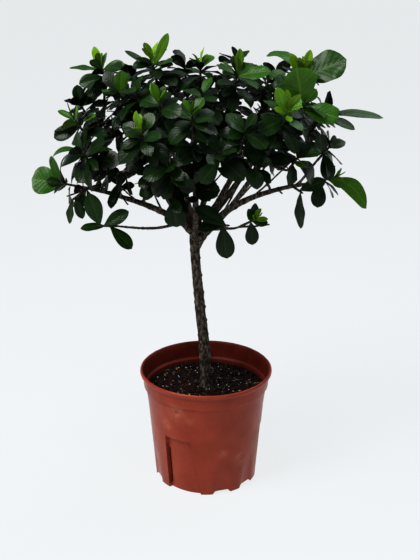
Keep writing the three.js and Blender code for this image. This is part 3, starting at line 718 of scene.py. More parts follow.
@dataclass
class Pot:
    """A round plastic nursery pot: tapered wall, stacking step, rolled rim, slit panels and a fluted foot."""

    finish: MouldedPlastic
    # the darker plastic that paints shade inside the pot and on the steps beside the slits
    painted_shade_finish: MouldedPlastic
    pressings: Pressings = field(default_factory=Pressings)
    height: float = 150
    wall: float = 1.6
    floor: float = 4
    plain_inside: float = 56  # the floor is flat and round within this radius
    floor_rings: Pair = (30, 52)  # radii of the rings of points in it
    outer: tuple[Pair, ...] = ((66.5, 0), (74.8, 102), (77.8, 126), (80.4, 128.5), (82, 143.7))
    rows: tuple[float, ...] = (
        2, 3.3, 4, 4.6, 9, 14, 20, 28, 36, 44, 52, 60, 66, 72, 77.2, 78, 79, 84, 92, 102, 108, 116, 124, 126,
        127.1, 128.5, 129.6, 136, 141)
    bead: tuple[Pair, ...] = (
        (81.8, 143.2), (82.3, 144), (83.6, 144.3), (84.5, 145), (85, 146.2), (85, 147.6), (84.7, 148.8),
        (84, 149.7), (83.2, 150), (82.4, 149.7), (81.6, 148.9), (81.1, 147.6))
    slit_low: float = 6.5
    slit_high: float = 60
    drains: int = 6
    drain_radius: float = 4.5
    drain_ring: float = 44
    drain_turn: float = 0.35  # of the way from one hole to the next, so that none is cut by a flute

    def radius(self, z: float) -> float:
        """The plain wall's outer radius at a height."""
        radii, heights = zip(*self.outer)
        return float(np.interp(z, heights, radii))

    def outline(self) -> list[Pair]:
        """The shell's outline, from the underside's middle out, up, over the rim and down to the floor.

        Returns:
            Its points, as radius and height.
        """
        foot = self.radius(0)
        near, far = self.floor_rings
        under = [(0, self.floor), (near, self.floor), (far, self.floor), (foot - 2.3, self.floor),
                 (foot - 1.7, 2), (foot - 1.4, 0.4), (foot - 1, 0), (foot - 0.4, 0), (foot, 0.5)]
        outside = [(self.radius(z), z) for z in self.rows]
        inside = [(self.radius(z) - self.wall, z) for z in reversed(self.rows) if z > self.floor + 3]
        top = self.floor + self.wall
        corner = self.radius(top) - self.wall
        floor = [(corner - 0.1, top + 1.2), (corner - 1.2, top), (far, top), (near, top), (0, top)]
        return under + outside + list(self.bead) + inside + floor

    def build(self) -> None:
        """Makes the pot's piece."""
        columns = len(self.pressings.columns(0)) * self.pressings.thirds
        shell = spun(self.outline(), columns)
        move_points(shell.data, self.pressings.press(coordinates(shell.data), self.plain_inside))
        cutter = self.holes()
        apply_modifier(shell, "BOOLEAN", object=cutter, operation="DIFFERENCE", solver="EXACT")
        bpy.data.objects.remove(cutter)
        in_metres(shell)
        smooth(shell, 32)
        shell.data.materials.append(self.finish.build())
        # the second material is painted shade: darker plastic on the inner wall and on the upright steps
        # beside the slits
        shell.data.materials.append(self.painted_shade_finish.build())
        for face in shell.data.polygons:
            face.material_index = int(self.in_painted_shade(face))
        keep(shell, "pot_moulding", Slot.POT, "pot")

    def in_painted_shade(self, face: bpy.types.MeshPolygon) -> bool:
        """Whether a face takes the darker plastic as painted shade: inside the pot, and on the step beside a
        slit.

        Args:
            face: a face of the finished shell, in metres.

        Returns:
            True where it is.
        """
        out = Vector((face.center.x, face.center.y, 0)).normalized()
        along = Vector((-out.y, out.x, 0))
        level = face.center.z / MM
        # painted shade: inward faces above the floor, and the upright steps beside the slits
        inside = face.normal.dot(out) < -0.3 and level > self.floor
        beside = abs(face.normal.dot(along)) > 0.85 and self.slit_low < level < self.slit_high + 4
        return inside or beside

    def holes(self) -> bpy.types.Object:
        """What is cut out: a slit down each panel's upright edge, and the drain holes in the floor.

        Returns:
            The blocks that cut, joined.
        """
        cutters = []
        near, far = self.pressings.slit
        middle_height = (self.slit_low + self.slit_high) / 2
        radius = self.radius(middle_height) - self.pressings.deep
        width = math.radians(far - near) * radius
        for third in range(self.pressings.thirds):
            turn = self.pressings.start + 360 / self.pressings.thirds * third
            angle = math.radians(turn + (near + far) / 2)
            bpy.ops.mesh.primitive_cube_add(
                size=1, location=(radius * math.cos(angle), radius * math.sin(angle), middle_height),
                rotation=(0, 0, angle), scale=(14, width, self.slit_high - self.slit_low))
            cutters.append(bpy.context.object)
        for k in range(self.drains):
            angle = 2 * math.pi * (k + self.drain_turn) / self.drains
            bpy.ops.mesh.primitive_cylinder_add(
                vertices=24, radius=self.drain_radius, depth=8,
                location=(self.drain_ring * math.cos(angle), self.drain_ring * math.sin(angle), self.floor))
            cutters.append(bpy.context.object)
        select_only(*cutters)
        bpy.ops.object.join()
        return bpy.context.object


# ---------------- compost


@dataclass
class Compost:
    """Damp compost that fills the pot, rough on top and heaped a little at the stem."""

    finish: Mottled
    pot: Pot
    level: float = 122
    gap: float = 0.4
    bottom: float = 6.2
    heap: float = 2.5
    heap_reach: float = 30
    lumps: tuple[Triple, ...] = ((17, 3.1, 2.2), (6, 8.7, 1.5), (2.4, 1.3, 0.9))  # size, seed, height
    rings: int = 20
    cuts: int = 2

    def height(self, x: float, y: float) -> float:
        """The surface's height at a place.

        Args:
            x: the place along X.
            y: the place along Y.

        Returns:
            The height.
        """
        height = self.level + self.heap * math.exp(-(x * x + y * y) / self.heap_reach ** 2)
        for size, seed, rise in self.lumps:
            height += rise * noise.noise(Vector((x / size, y / size, seed)))
        return height

    def reach(self) -> float:
        """The surface's radius."""
        return self.pot.radius(self.level) - self.pot.wall - self.gap

    def build(self) -> None:
        """Makes the compost's piece."""
        inset = self.pot.wall + self.gap
        rows = [z for z in self.pot.rows if self.bottom + 2 < z < self.level - 3]
        side = [(self.pot.radius(z) - inset, z) for z in rows]
        corner = self.pot.radius(self.bottom) - inset - 1.5
        base = [(0, self.bottom), (self.pot.floor_rings[1], self.bottom), (corner, self.bottom)]
        top = [(self.reach() * (1 - k / self.rings), self.level) for k in range(self.rings + 1)]
        pressings = self.pot.pressings
        body = spun(base + side + top, len(pressings.columns(0)) * pressings.thirds)
        points = coordinates(body.data)
        low = points[:, 2] < self.level - 1
        points[low] = pressings.press(points[low], self.pot.plain_inside)
        points[~low] = pressings.press(points[~low], self.reach() - 0.1)
        move_points(body.data, points)
        self.roughen(body)
        in_metres(body)
        smooth(body, 60)
        body.data.materials.append(self.finish.build())
        keep(body, "compost_fill", Slot.COMPOST, "soil")

    def roughen(self, body: bpy.types.Object) -> None:
        """Cuts the flat top finer and gives it its lumps.

        Args:
            body: the compost's shell.
        """
        for face in body.data.polygons:
            face.select = face.normal.z > 0.9
        for edge in body.data.edges:
            edge.select = False
        for point in body.data.vertices:
            point.select = False
        bpy.context.view_layer.objects.active = body
        bpy.ops.object.mode_set(mode="EDIT")
        bpy.ops.mesh.select_mode(type="FACE")
        bpy.ops.mesh.subdivide(number_cuts=self.cuts)
        bpy.ops.object.mode_set(mode="OBJECT")
        points = coordinates(body.data)
        for k, (x, y, z) in enumerate(points):
            if z > self.level - 0.5:
                points[k, 2] = self.height(x, y)
        move_points(body.data, points)


@dataclass
class Litter:
    """What lies loose on the compost: crumbs of peat, perlite, bark chips and coir fibres."""

    compost: Compost
    finishes: Finishes
    stem_clear: float = 9
    seed: int = 5
    dry: Triple = (-30, -4, 30)  # where the compost has dried: the place and the reach

    def build(self) -> None:
        """Makes one piece of each kind."""
        chance = random.Random(self.seed)
        kinds = self.finishes
        self.grains("peat_crumbs", kinds.compost, 640, (0.8, 2.4), (1, 1, 0.8), chance)
        self.grains("dried_peat_crumbs", kinds.dry_peat, 230, (0.5, 1.4), (1, 1, 0.8), chance, self.dry)
        self.grains("perlite_grains", kinds.perlite, 190, (0.3, 0.95), (1, 1, 0.85), chance)
        self.grains("bark_chips", kinds.chip, 15, (0.9, 2.2), (1.3, 0.8, 0.45), chance)
        self.fibres("coir_fibres", kinds.fibre, 46, chance)

    def spot(self, chance: random.Random) -> Pair:
        """A place on the compost clear of the stem and the wall.

        Args:
            chance: where the draws come from.

        Returns:
            Its X and Y.
        """
        radius = math.sqrt(chance.uniform(self.stem_clear ** 2, (self.compost.reach() - 3) ** 2))
        angle = chance.uniform(0, 2 * math.pi)
        return radius * math.cos(angle), radius * math.sin(angle)

    def grains(self, name: str, finish: Mottled, count: int, sizes: Pair, stretch: Triple,
               chance: random.Random, where: Triple | None = None) -> None:
        """Scatters copies of one lumpy grain as a piece.

        Args:
            name: the piece's name.
            finish: its material.
            count: how many grains.
            sizes: least and greatest radius in millimetres.
            stretch: the grain's shape, long, wide and high.
            chance: where the draws come from.
            where: a place and the reach round it that they stay in.
        """
        bpy.ops.mesh.primitive_ico_sphere_add(subdivisions=2, radius=1)
        grain = bpy.context.object
        apply_modifier(grain, "DECIMATE", ratio=0.5)
        shape = coordinates(grain.data)
        shape *= np.array([[1 + 0.32 * noise.noise(Vector(p) * 1.9)] for p in shape])
        shape *= np.array(stretch)
        faces = [tuple(face.vertices) for face in grain.data.polygons]
        bpy.data.objects.remove(grain)
        pile = MeshPile()
        for _ in range(count):
            x, y = self.spot(chance)
            while where and math.hypot(x - where[0], y - where[1]) > where[2]:
                x, y = self.spot(chance)
            size = chance.uniform(*sizes)
            turn = Euler([chance.uniform(-0.5, 0.5), chance.uniform(-0.5, 0.5), chance.uniform(0, 6.28)])
            placed = shape @ np.array(turn.to_matrix()).T * size
            pile.add(placed + vec((x, y, self.compost.height(x, y) + 0.35 * size)), faces)
        piece = pile.piece([finish.build()])
        smooth(piece, 40)
        keep(piece, name, Slot.COMPOST)

    def fibres(self, name: str, finish: Mottled, count: int, chance: random.Random) -> None:
        """Scatters fine bent fibres as a piece.

        Args:
            name: the piece's name.
            finish: its material.
            count: how many fibres.
            chance: where the draws come from.
        """
        pile = MeshPile()
        for _ in range(count):
            x, y = self.spot(chance)
            heading = chance.uniform(0, 2 * math.pi)
            bend = chance.uniform(-0.5, 0.5)
            step = chance.uniform(1.2, 2.8)
            route = []
            for k in range(6):
                if math.hypot(x, y) > self.compost.reach() - 2:
                    break
                lift = 0.3 + 0.9 * math.sin(math.pi * k / 5) * abs(bend)
                route.append(vec((x, y, self.compost.height(x, y) + lift)))
                x += step * math.cos(heading)
                y += step * math.sin(heading)
                heading += bend
            if len(route) > 2:
                pile.add(*tube(route, [0.22] * len(route), 4))
        piece = pile.piece([finish.build()])
        smooth(piece, 60)
        keep(piece, name, Slot.COMPOST)


# ---------------- meshes of many copies


Faces = list[tuple[int, ...]]


def tube(route: Sequence[np.ndarray], radii: Sequence[float], sides: int) -> tuple[np.ndarray, Faces]:
    """A closed round stem along a route.

    Args:
        route: the points of its axis.
        radii: its radius at each point.
        sides: how many sides its section has.

    Returns:
        Its points and faces.
    """
    points = []
    ways = [unit(b - a) for a, b in zip(route, route[1:])]
    side, _ = square_to(ways[0])
    for k, (middle, radius) in enumerate(zip(route, radii)):
        way = unit(ways[max(k - 1, 0)] + ways[min(k, len(ways) - 1)])
        side = unit(side - way * np.dot(side, way))
        up = np.cross(way, side)
        for n in range(sides):
            turn = 2 * math.pi * n / sides
            points.append(middle + radius * (side * math.cos(turn) + up * math.sin(turn)))
    faces: Faces = [tuple(reversed(range(sides)))]
    for k in range(len(route) - 1):
        for n in range(sides):
            a, b = k * sides + n, k * sides + (n + 1) % sides
            faces.append((a, b, b + sides, a + sides))
    last = (len(route) - 1) * sides
    faces.append(tuple(range(last, last + sides)))
    return np.array(points), faces


class MeshPile:
    """Gathers copies of small meshes, in millimetres, to make one piece of them."""

    def __init__(self) -> None:
        """Starts an empty pile."""
        self.points: list[np.ndarray] = []
        self.faces: Faces = []
        self.finish_of: list[int] = []
        self.maps: list[np.ndarray] = []
        self.ages: list[np.ndarray] = []
        self.lucks: list[np.ndarray] = []
        self.count = 0

    def add(self, points: np.ndarray, faces: Faces, finish: int | Sequence[int] = 0,
            blade: np.ndarray | None = None, age: float = 0, luck: float = 0.5) -> None:
        """Adds one copy.

        Args:
            points: its points.
            faces: its faces, numbered within the copy.
            finish: the number of its material, for the whole copy or for each face.
            blade: where each point lies on the blade's own map.
            age: the leaf's age, from 0 for the oldest to 1.
            luck: a draw that sets this copy's shade.
        """
        self.faces += [tuple(k + self.count for k in face) for face in faces]
        self.finish_of += [finish] * len(faces) if isinstance(finish, int) else list(finish)
        self.points.append(points)
        self.maps.append(np.full((len(points), 2), 0.5) if blade is None else blade)
        self.ages.append(np.full(len(points), age))
        self.lucks.append(np.full(len(points), luck))
        self.count += len(points)

    def piece(self, finishes: Sequence[bpy.types.Material]) -> bpy.types.Object:
        """Makes the piece, in metres, with its blade map, ages and luck.

        Args:
            finishes: its materials, in the order of their numbers.

        Returns:
            The piece.
        """
        mesh = bpy.data.meshes.new("pile")
        mesh.from_pydata((np.concatenate(self.points) * MM).tolist(), [], self.faces)
        for finish in finishes:
            mesh.materials.append(finish)
        mesh.polygons.foreach_set("material_index", self.finish_of)
        corners = np.empty(len(mesh.loops), dtype=int)
        mesh.loops.foreach_get("vertex_index", corners)
        mesh.uv_layers.new(name="blade").data.foreach_set("uv", np.concatenate(self.maps)[corners].ravel())
        for name, values in (("age", self.ages), ("luck", self.lucks)):
            mesh.attributes.new(name, "FLOAT", "POINT").data.foreach_set("value", np.concatenate(values))
        mesh.update()
        piece = bpy.data.objects.new("pile", mesh)
        bpy.context.collection.objects.link(piece)
        return piece


# ---------------- the plant's layout


@dataclass(frozen=True)
class Limb:
    """A limb: where it leaves the fork, a point that draws it out, the spray it ends in, and its radii."""

    start: Triple
    by: Triple
    to: str
    radii: Pair


@dataclass(frozen=True)
class Big:
    """A leaf listed one by one: the way it runs, the way its upper face looks, its length, width and curl."""

    run: Triple
    face: Triple
    length: float
    width: float
    curl: float


@dataclass(frozen=True)
class Spray:
    """A leafy stem at a twig's end.

    Attributes:
        limb: the limb it grows from.
        tip: its stem's end.
        leaves: how many leaves it has in opposite pairs.
        length: their usual length.
        at: how far along the limb its twig leaves, or None at the limb's own end.
        axis: the way it points, if not up and out of the crown.
        shoot: the leaf length of its young shoot, or None.
        big: its leaves listed one by one.
    """

    limb: str
    tip: Triple
    leaves: int
    length: float
    at: float | None = None
    axis: Triple | None = None
    shoot: float | None = None
    big: tuple[Big, ...] = ()


LIMBS = {
    "left": Limb((-15, 0, 334), (-50, -8, 368), "left_end", (4.8, 1.8)),
    "low_left": Limb((-24, -3, 348), (-62, -16, 336), "low_left_tip", (2.1, 1.4)),
    "high_left": Limb((-15, 1, 337), (-48, 12, 392), "crest_left", (4.4, 1.8)),
    "front_left": Limb((-15, -1, 330), (-40, -40, 368), "front_left_tip", (4.2, 1.8)),
    "middle": Limb((-15, 0, 334), (-28, -4, 410), "crest_middle_left", (4.6, 1.8)),
    "front": Limb((-14, -1, 324), (-10, -46, 368), "front_tip", (4.2, 1.8)),
    "right": Limb((-12, 0, 312), (24, -14, 390), "right_end", (5, 1.9)),
    "high_right": Limb((-13, 1, 326), (40, 6, 392), "crest_right", (4.6, 1.8)),
    "middle_right": Limb((-13, 1, 332), (8, 8, 410), "crest_middle_right", (4.2, 1.8)),
    "front_right": Limb((-12, -1, 320), (28, -42, 366), "front_right_tip", (4.2, 1.8)),
    "low_right": Limb((-12, -3, 334), (8, -34, 350), "low_right_tip", (2.1, 1.4)),
    "back_right": Limb((-12, 2, 325), (34, 52, 382), "back_right_tip", (4.4, 1.8)),
    "back_left": Limb((-15, 2, 331), (-58, 58, 388), "back_left_tip", (4.4, 1.8)),
    "back": Limb((-14, 2, 328), (-8, 54, 410), "back_tip", (4.2, 1.8)),
}

SPRAYS = {
    "crest_left": Spray("high_left", (-122, 20, 528), 8, 38, shoot=24, big=(
        Big((-1, 0.1, 0.25), (0.2, -0.25, 1), 42, 14, 0.35),)),
    "crest_left_front": Spray("high_left", (-98, -34, 510), 8, 36, at=0.78, big=(
        Big((0.1, -0.3, 1), (0.1, -1, 0.1), 34, 19, 0.1),)),
    "shoulder_left": Spray("high_left", (-152, 34, 484), 8, 36, at=0.72),
    "high_left_inner": Spray("high_left", (-88, 30, 500), 8, 38, at=0.6),
    "crest_middle_left": Spray("middle", (-61, 0, 536), 8, 40, shoot=26, big=(
        Big((0.45, 0.1, 1), (0.1, -1, 0.25), 45, 15, 0.15),
        Big((-0.8, 0.2, 0.6), (0.5, -0.5, 0.8), 42, 13, 0.2),
        Big((1, -0.1, 0.2), (0, -0.2, 1), 42, 14, 0.5))),
    "crest_middle_front": Spray("middle", (-78, -48, 512), 8, 36, at=0.8),
    "middle_front": Spray("middle", (-50, -84, 505), 8, 38, at=0.62, shoot=24),
    "front_left_tip": Spray("front_left", (-68, -116, 480), 8, 38, shoot=22),
    "front_left_side": Spray("front_left", (-140, -66, 448), 8, 42, at=0.74),
    "left_upper": Spray("left", (-148, -30, 474), 8, 36, at=0.72, shoot=24, big=(
        Big((-1, -0.1, -0.1), (-0.1, -0.3, 1), 30, 12, 0.3),)),
    "left_end": Spray("left", (-171, -14, 398), 6, 32, axis=(-1, 0, 0.2), big=(
        Big((-1, -0.15, 0.22), (0.15, -1, 0.5), 40, 35, 0.3),
        Big((-0.9, -0.1, 0.5), (-0.45, -0.35, -0.85), 56, 16, 2.6))),
    "left_hanging": Spray("left", (-158, -42, 384), 0, 30, at=0.9, axis=(-0.5, -0.5, -0.3), big=(
        Big((-0.25, -0.1, -1), (-0.7, -0.7, 0.2), 30, 13, 0.2),
        Big((0.35, -0.1, -1), (0.3, -1, 0.1), 27, 12, 0.2))),
    "left_inner": Spray("left", (-116, -44, 426), 7, 38, at=0.6),
    "left_middle": Spray("left", (-70, -20, 446), 7, 36, at=0.42),
    "low_left_tip": Spray("low_left", (-127, -46, 355), 0, 36, axis=(-1, -0.4, 0.15), big=(
        Big((-0.3, -0.1, 1), (0.15, -1, 0.1), 42, 21, 0.25),
        Big((1, -0.2, 0.7), (-0.2, -1, 0.5), 36, 17, 0.3),
        Big((-1, -0.2, 0.05), (0, -0.5, 1), 31, 15, 0.25),
        Big((0.8, -0.3, -0.7), (0.5, -1, 0.5), 38, 18, 0.2))),
    "fork_front": Spray("front_left", (-37, -84, 398), 2, 34, at=0.26, axis=(-0.25, -0.95, 0.2), big=(
        Big((0.1, -0.3, -1), (-0.2, -1, 0.2), 32, 26, 0.2),)),
    "front_tip": Spray("front", (-14, -112, 498), 8, 38, shoot=20),
    "front_left_face": Spray("front", (-40, -116, 446), 8, 38, at=0.66),
    "front_face": Spray("front", (16, -116, 460), 8, 38, at=0.74),
    "crest_front": Spray("middle_right", (-4, -50, 512), 8, 36, at=0.7),
    "low_right_near": Spray("low_right", (26, -80, 366), 0, 34, at=0.62, axis=(0.6, -0.7, 0.2), big=(
        Big((-1, -0.1, 0.7), (0.1, -0.8, 0.6), 42, 20, 0.3),
        Big((-1, -0.3, 0), (0, -0.6, 1), 32, 14, 0.2),
        Big((0.15, -0.2, -1), (0, -1, 0.1), 40, 22, 0.2))),
    "low_right_tip": Spray("low_right", (54, -74, 370), 3, 30, axis=(0.6, -0.6, 0.5), shoot=17, big=(
        Big((0.1, -0.2, -1), (0.2, -1, 0), 28, 16, 0.2),)),
    "right_pendant": Spray("right", (112, -48, 396), 0, 34, at=0.84, axis=(0.4, -0.8, -0.1), big=(
        Big((0, 0, -1), (-0.8, -0.6, 0), 46, 17, 0.1),
        Big((1, -0.2, 0.5), (0, -1, 0.6), 34, 16, 0.3))),
    "right_end": Spray("right", (146, -20, 405), 4, 34, axis=(1, -0.2, 0.3), shoot=20, big=(
        Big((0.8, -0.1, -0.5), (0.25, -0.9, 0.45), 62, 22, 0.3),
        Big((1, 0, -0.4), (0, -0.2, 1), 28, 9, 0.5),
        Big((-0.1, -0.3, -1), (-0.2, -1, 0), 32, 18, 0.1))),
    "right_upper": Spray("right", (144, -30, 446), 8, 38, at=0.8),
    "right_inner": Spray("right", (80, -44, 442), 6, 36, at=0.6),
    "shoulder_right": Spray("high_right", (140, 6, 478), 8, 40, at=0.66, big=(
        Big((1, 0, 0.06), (0, -0.5, 1), 74, 15, 0.25),
        Big((1, -0.4, 0.05), (0.1, -0.5, 1), 44, 15, 0.7))),
    "crest_right": Spray("high_right", (110, -20, 528), 8, 40, shoot=24, big=(
        Big((-0.25, -0.1, 1), (0.9, -0.6, 0.2), 56, 18, 1.9),
        Big((1, -0.1, 0.5), (-0.3, -1, 0.7), 58, 40, 0.15))),
    "crest_right_front": Spray("high_right", (110, -58, 502), 7, 40, at=0.82, big=(
        Big((-0.2, -0.3, 1), (0.1, -1, 0.55), 46, 42, 0.1),
        Big((1, -0.4, -0.1), (0.2, -0.8, 0.7), 44, 28, 0.3))),
    "crest_inner_right": Spray("high_right", (74, 10, 518), 8, 38, at=0.8),
    "front_right_tip": Spray("front_right", (88, -102, 499), 8, 38, shoot=26),
    "front_right_high": Spray("front_right", (44, -104, 482), 8, 38, at=0.8),
    "front_right_side": Spray("front_right", (104, -92, 451), 8, 40, at=0.72),
    "front_right_low": Spray("front_right", (56, -98, 441), 6, 36, at=0.62, big=(
        Big((0.1, -0.3, -1), (0, -1, 0.2), 32, 18, 0.2),)),
    "crest_middle_right": Spray("middle_right", (36, -30, 530), 8, 40, shoot=26, big=(
        Big((1, -0.2, 0.3), (-0.2, -0.8, 1), 40, 20, 0.3),)),
    "crest_middle": Spray("middle_right", (-6, 10, 530), 8, 38, at=0.8, shoot=20),
    "back_crest": Spray("back", (40, 58, 532), 7, 38, at=0.86),
    "back_tip": Spray("back", (-26, 88, 520), 7, 38),
    "back_low": Spray("back", (4, 121, 468), 7, 38, at=0.6),
    "back_left_tip": Spray("back_left", (-88, 80, 514), 7, 38),
    "back_left_side": Spray("back_left", (-134, 78, 458), 7, 38, at=0.7),
    "back_left_low": Spray("back_left", (-66, 112, 456), 7, 36, at=0.56),
    "back_right_tip": Spray("back_right", (86, 86, 508), 7, 38),
    "back_right_side": Spray("back_right", (134, 66, 462), 7, 38, at=0.7),
    "back_right_low": Spray("back_right", (70, 112, 452), 7, 36, at=0.56),
}

# Listed leaves that are brighter than old leaves, from 0 for the oldest shade to 1 for the youngest.
BRIGHT = {
    ("left_end", 0): 0.5, ("left_end", 1): 0.5, ("crest_left", 0): 0.3, ("crest_left_front", 0): 0.62,
    ("crest_middle_left", 0): 0.76, ("crest_middle_left", 1): 0.2, ("crest_middle_left", 2): 0.16,
    ("right_end", 0): 0.6, ("right_end", 1): 0.1, ("crest_right", 0): 0.4, ("crest_right", 1): 0.3,
    ("crest_right_front", 0): 0.6, ("crest_right_front", 1): 0.5, ("shoulder_right", 0): 0.4,
    ("shoulder_right", 1): 0.4, ("crest_middle_right", 0): 0.46, ("low_left_tip", 0): 0.24,
    ("low_left_tip", 1): 0.26, ("low_left_tip", 2): 0.2, ("low_left_tip", 3): 0.22,
}
LEAST_BRIGHT = 0.12

# How young a shoot's leaves are, where they aren't as bright as most.
CALM = {"front_tip": 0.5, "left_upper": 0.5, "low_right_tip": 0.66, "right_end": 0.6, "middle_front": 0.66}
BRIGHTEST = 0.8

# Leaves that are slimmer or shorter than their neighbours: shares of width and length.
TRIMMED = {("crest_middle_left", 0): (0.74, 0.96), ("crest_left_front", 0): (0.85, 0.88),
           ("front_right_low", 0): (0.95, 0.78), ("front_right_low", 4): (0.72, 0.72),
           ("front_right_low", 5): (0.82, 0.8), ("front_right_side", 5): (0.85, 0.8),
           ("front_right_side", 6): (0.85, 0.85)}

# How much younger than old leaves a spray's upper pairs are: most along the crest and at the right.
LIVELY = {
    "crest_left": 0.42, "crest_left_front": 0.3, "crest_middle_left": 0.5, "crest_middle": 0.5,
    "crest_front": 0.3, "crest_middle_right": 0.46, "crest_inner_right": 0.4, "crest_right": 0.5,
    "crest_right_front": 0.5, "shoulder_right": 0.4, "front_right_tip": 0.62, "front_right_high": 0.2,
    "right_end": 0.5, "low_right_tip": 0.1, "left_end": 0.2, "left_upper": 0.8, "middle_front": 0.24,
    "front_left_tip": 0.2, "front_tip": 0.3, "low_left_tip": 0.2,
}
LEAST_LIVELY = 0.1
FADE = (1.0, 0.55, 0.25, 0.1, 0.0)  # the shares of that, pair by pair from the tip down

# Listed leaves that the frame doesn't have: how far along the spray's stem, the leaf and its age.
FURTHER = {
    "left_end": (
        (1.0, Big((-1, -0.35, 0.35), (0.2, -0.9, 0.5), 20, 11, 0.3), 0.1),
        (0.97, Big((-0.45, -0.1, 0.9), (-0.5, -0.85, 0.1), 36, 12, 0.4), 0.4)),
    "front_left_side": (
        (0.95, Big((-0.9, 0, 0.52), (0.46, -0.36, 0.81), 50, 15, 1.9), 0.36),),
    "crest_middle_left": (
        (1.0, Big((0.9, -0.5, 0.25), (0.1, -0.6, 0.8), 26, 12, 0.5), 0.06),
        (0.98, Big((-0.9, -0.45, 0.15), (0, -0.6, 0.8), 25, 12, 0.5), 0.1)),
    "crest_right": (
        (0.92, Big((-0.45, -0.35, 0.85), (-0.3, -0.9, 0.2), 30, 11, 0.3), 0.85),
        (0.96, Big((-0.1, -0.5, 0.85), (0.3, -0.8, 0.4), 24, 9, 0.3), 0.95)),
    "front_right_tip": (
        (0.98, Big((-0.35, -0.3, 0.9), (-0.2, -0.95, 0.3), 32, 13, 0.3), 0.78),
        (0.96, Big((-0.7, -0.5, 0.55), (0.3, -0.8, 0.5), 17, 7, 0.4), 0.85),
        (0.9, Big((0.3, -0.9, -0.15), (0, -0.6, 0.8), 14, 7, 0.4), 0.8)),
    "front_right_side": (
        (0.45, Big((0.7, -0.7, 0.1), (0.1, -0.6, 0.8), 19, 12, 0.4), 0.56),),
    "low_right_tip": (
        (1.0, Big((0.45, -0.3, 0.85), (-0.5, -0.8, 0.3), 19, 6.5, 0.2), 0.95),),
    "crest_left": (
        (0.5, Big((-1, -0.4, -0.1), (0.1, -0.9, 0.5), 33, 18, 0.4), 0.16),
        (0.3, Big((-0.8, -0.5, -0.5), (0.2, -1, 0.4), 30, 17, 0.4), 0.08),
        (0.95, Big((0.9, -0.4, 0.35), (-0.1, -0.9, 0.6), 29, 15, 0.3), 0.34)),
    "shoulder_left": (
        (0.9, Big((-0.1, -0.4, 1), (0, -1, 0.3), 27, 15, 0.3), 0.12),
        (0.85, Big((0.7, -0.35, 0.8), (-0.1, -1, 0.4), 31, 17, 0.3), 0.1)),
    "left_upper": (
        (0.75, Big((-1, -0.3, -0.3), (0, -0.9, 0.5), 33, 18, 0.4), 0.1),),
    "right_upper": (
        (0.55, Big((0.25, -0.5, -0.9), (0.3, -1, 0.2), 33, 19, 0.4), 0.14),
        (0.4, Big((-0.1, -0.6, 0.8), (0.2, -1, 0.3), 33, 19, 0.3), 0.1)),
    "shoulder_right": (
        (0.35, Big((-0.6, -0.6, 0.5), (0.2, -1, 0.5), 34, 19, 0.4), 0.24),),
}

# Listed leaves that are swept aside between stalk and tip.
SWEPT = {("right_end", 0): -0.17, ("shoulder_right", 0): -0.05, ("left_end", 1): 0.05}


@dataclass(frozen=True)
class Leafing:
    """How leaves stand on a spray and on a shoot, the same as in the frame's source."""

    heart: Triple = (-6, 0, 400)
    upward: float = 0.9
    stem: float = 22
    lightward: float = 0.9
    sunk: float = 0.6
    gap: float = 0.3
    big_top: float = 0.86  # where along the stem the first listed leaf stands
    big_step: float = 0.17  # and how far the next ones stand below it
    pairs: tuple[tuple[float, float, float, float], ...] = (  # along, open, share of length, curl
        (0.96, 40, 0.72, 0.35), (0.76, 62, 0.95, 0.6), (0.55, 80, 1, 0.75), (0.34, 94, 0.95, 0.7),
        (0.12, 106, 0.85, 0.6))
    width_share: float = 0.5
    shoot_leaves: tuple[Triple, ...] = ((0, 5, 1.15), (3, 32, 0.9), (4.5, 30, 0.8))  # along, open, share
    shoot_gap: float = 0.9
    shoot_width_share: float = 0.4
    bends: tuple[Triple, ...] = (  # degrees down, degrees aside, share of length
        (0, 0, 1), (10, 0, 1), (-12, 0, 1), (0, 14, 1), (0, -14, 1), (16, 12, 1), (-18, -12, 1),
        (22, -14, 0.9), (-24, 14, 0.9), (0, 26, 0.85), (0, -26, 0.85), (12, 0, 0.75), (-12, 0, 0.75),
        (26, 20, 0.75), (-28, -20, 0.75))


LEAFING = Leafing()


@dataclass
class Leaf:
    """One leaf's place and form."""

    root: np.ndarray
    run: np.ndarray
    face: np.ndarray
    length: float
    width: float
    curl: float
    age: float = 0
    fold: float = 0.3
    twist: float = 0
    wave: float = 0
    luck: float = 0.5
    blunt: float = 0.7  # how blunt its tip is: less is blunter
    sweep: float = 0  # how far its middle lies aside of the line from stalk to tip, as a share of its length

    def side(self) -> np.ndarray:
        """The way across the blade."""
        return unit(np.cross(self.run, self.face))

    def straightened(self) -> None:
        """Makes the face square to the run, both of length 1."""
        self.run = unit(self.run)
        self.face = np.cross(self.side(), self.run)

    def bent(self, down: float, aside: float, share: float) -> None:
        """Bends the leaf clear as the frame's source does, in degrees, with its length cut to a share.

        Args:
            down: degrees down.
            aside: degrees aside.
            share: the share of its length that stays.
        """
        self.straightened()
        side = self.side()
        self.run = turned(self.run, side, -down)
        self.face = turned(self.face, side, -down)
        self.run = turned(self.run, self.face, aside)
        self.length *= share

    def tip(self) -> np.ndarray:
        """Where the blade ends.

        Returns:
            The point.
        """
        level = self.length * math.sin(self.curl) / self.curl
        drop = self.length * (1 - math.cos(self.curl)) / self.curl
        return self.root + self.run * level - self.face * drop


def set_by_hand(big: Big, root: np.ndarray, age: float = 0) -> Leaf:
    """The leaf that a Big describes, with its stalk at root."""
    return Leaf(root, vec(big.run), vec(big.face), big.length, big.width, big.curl, age)


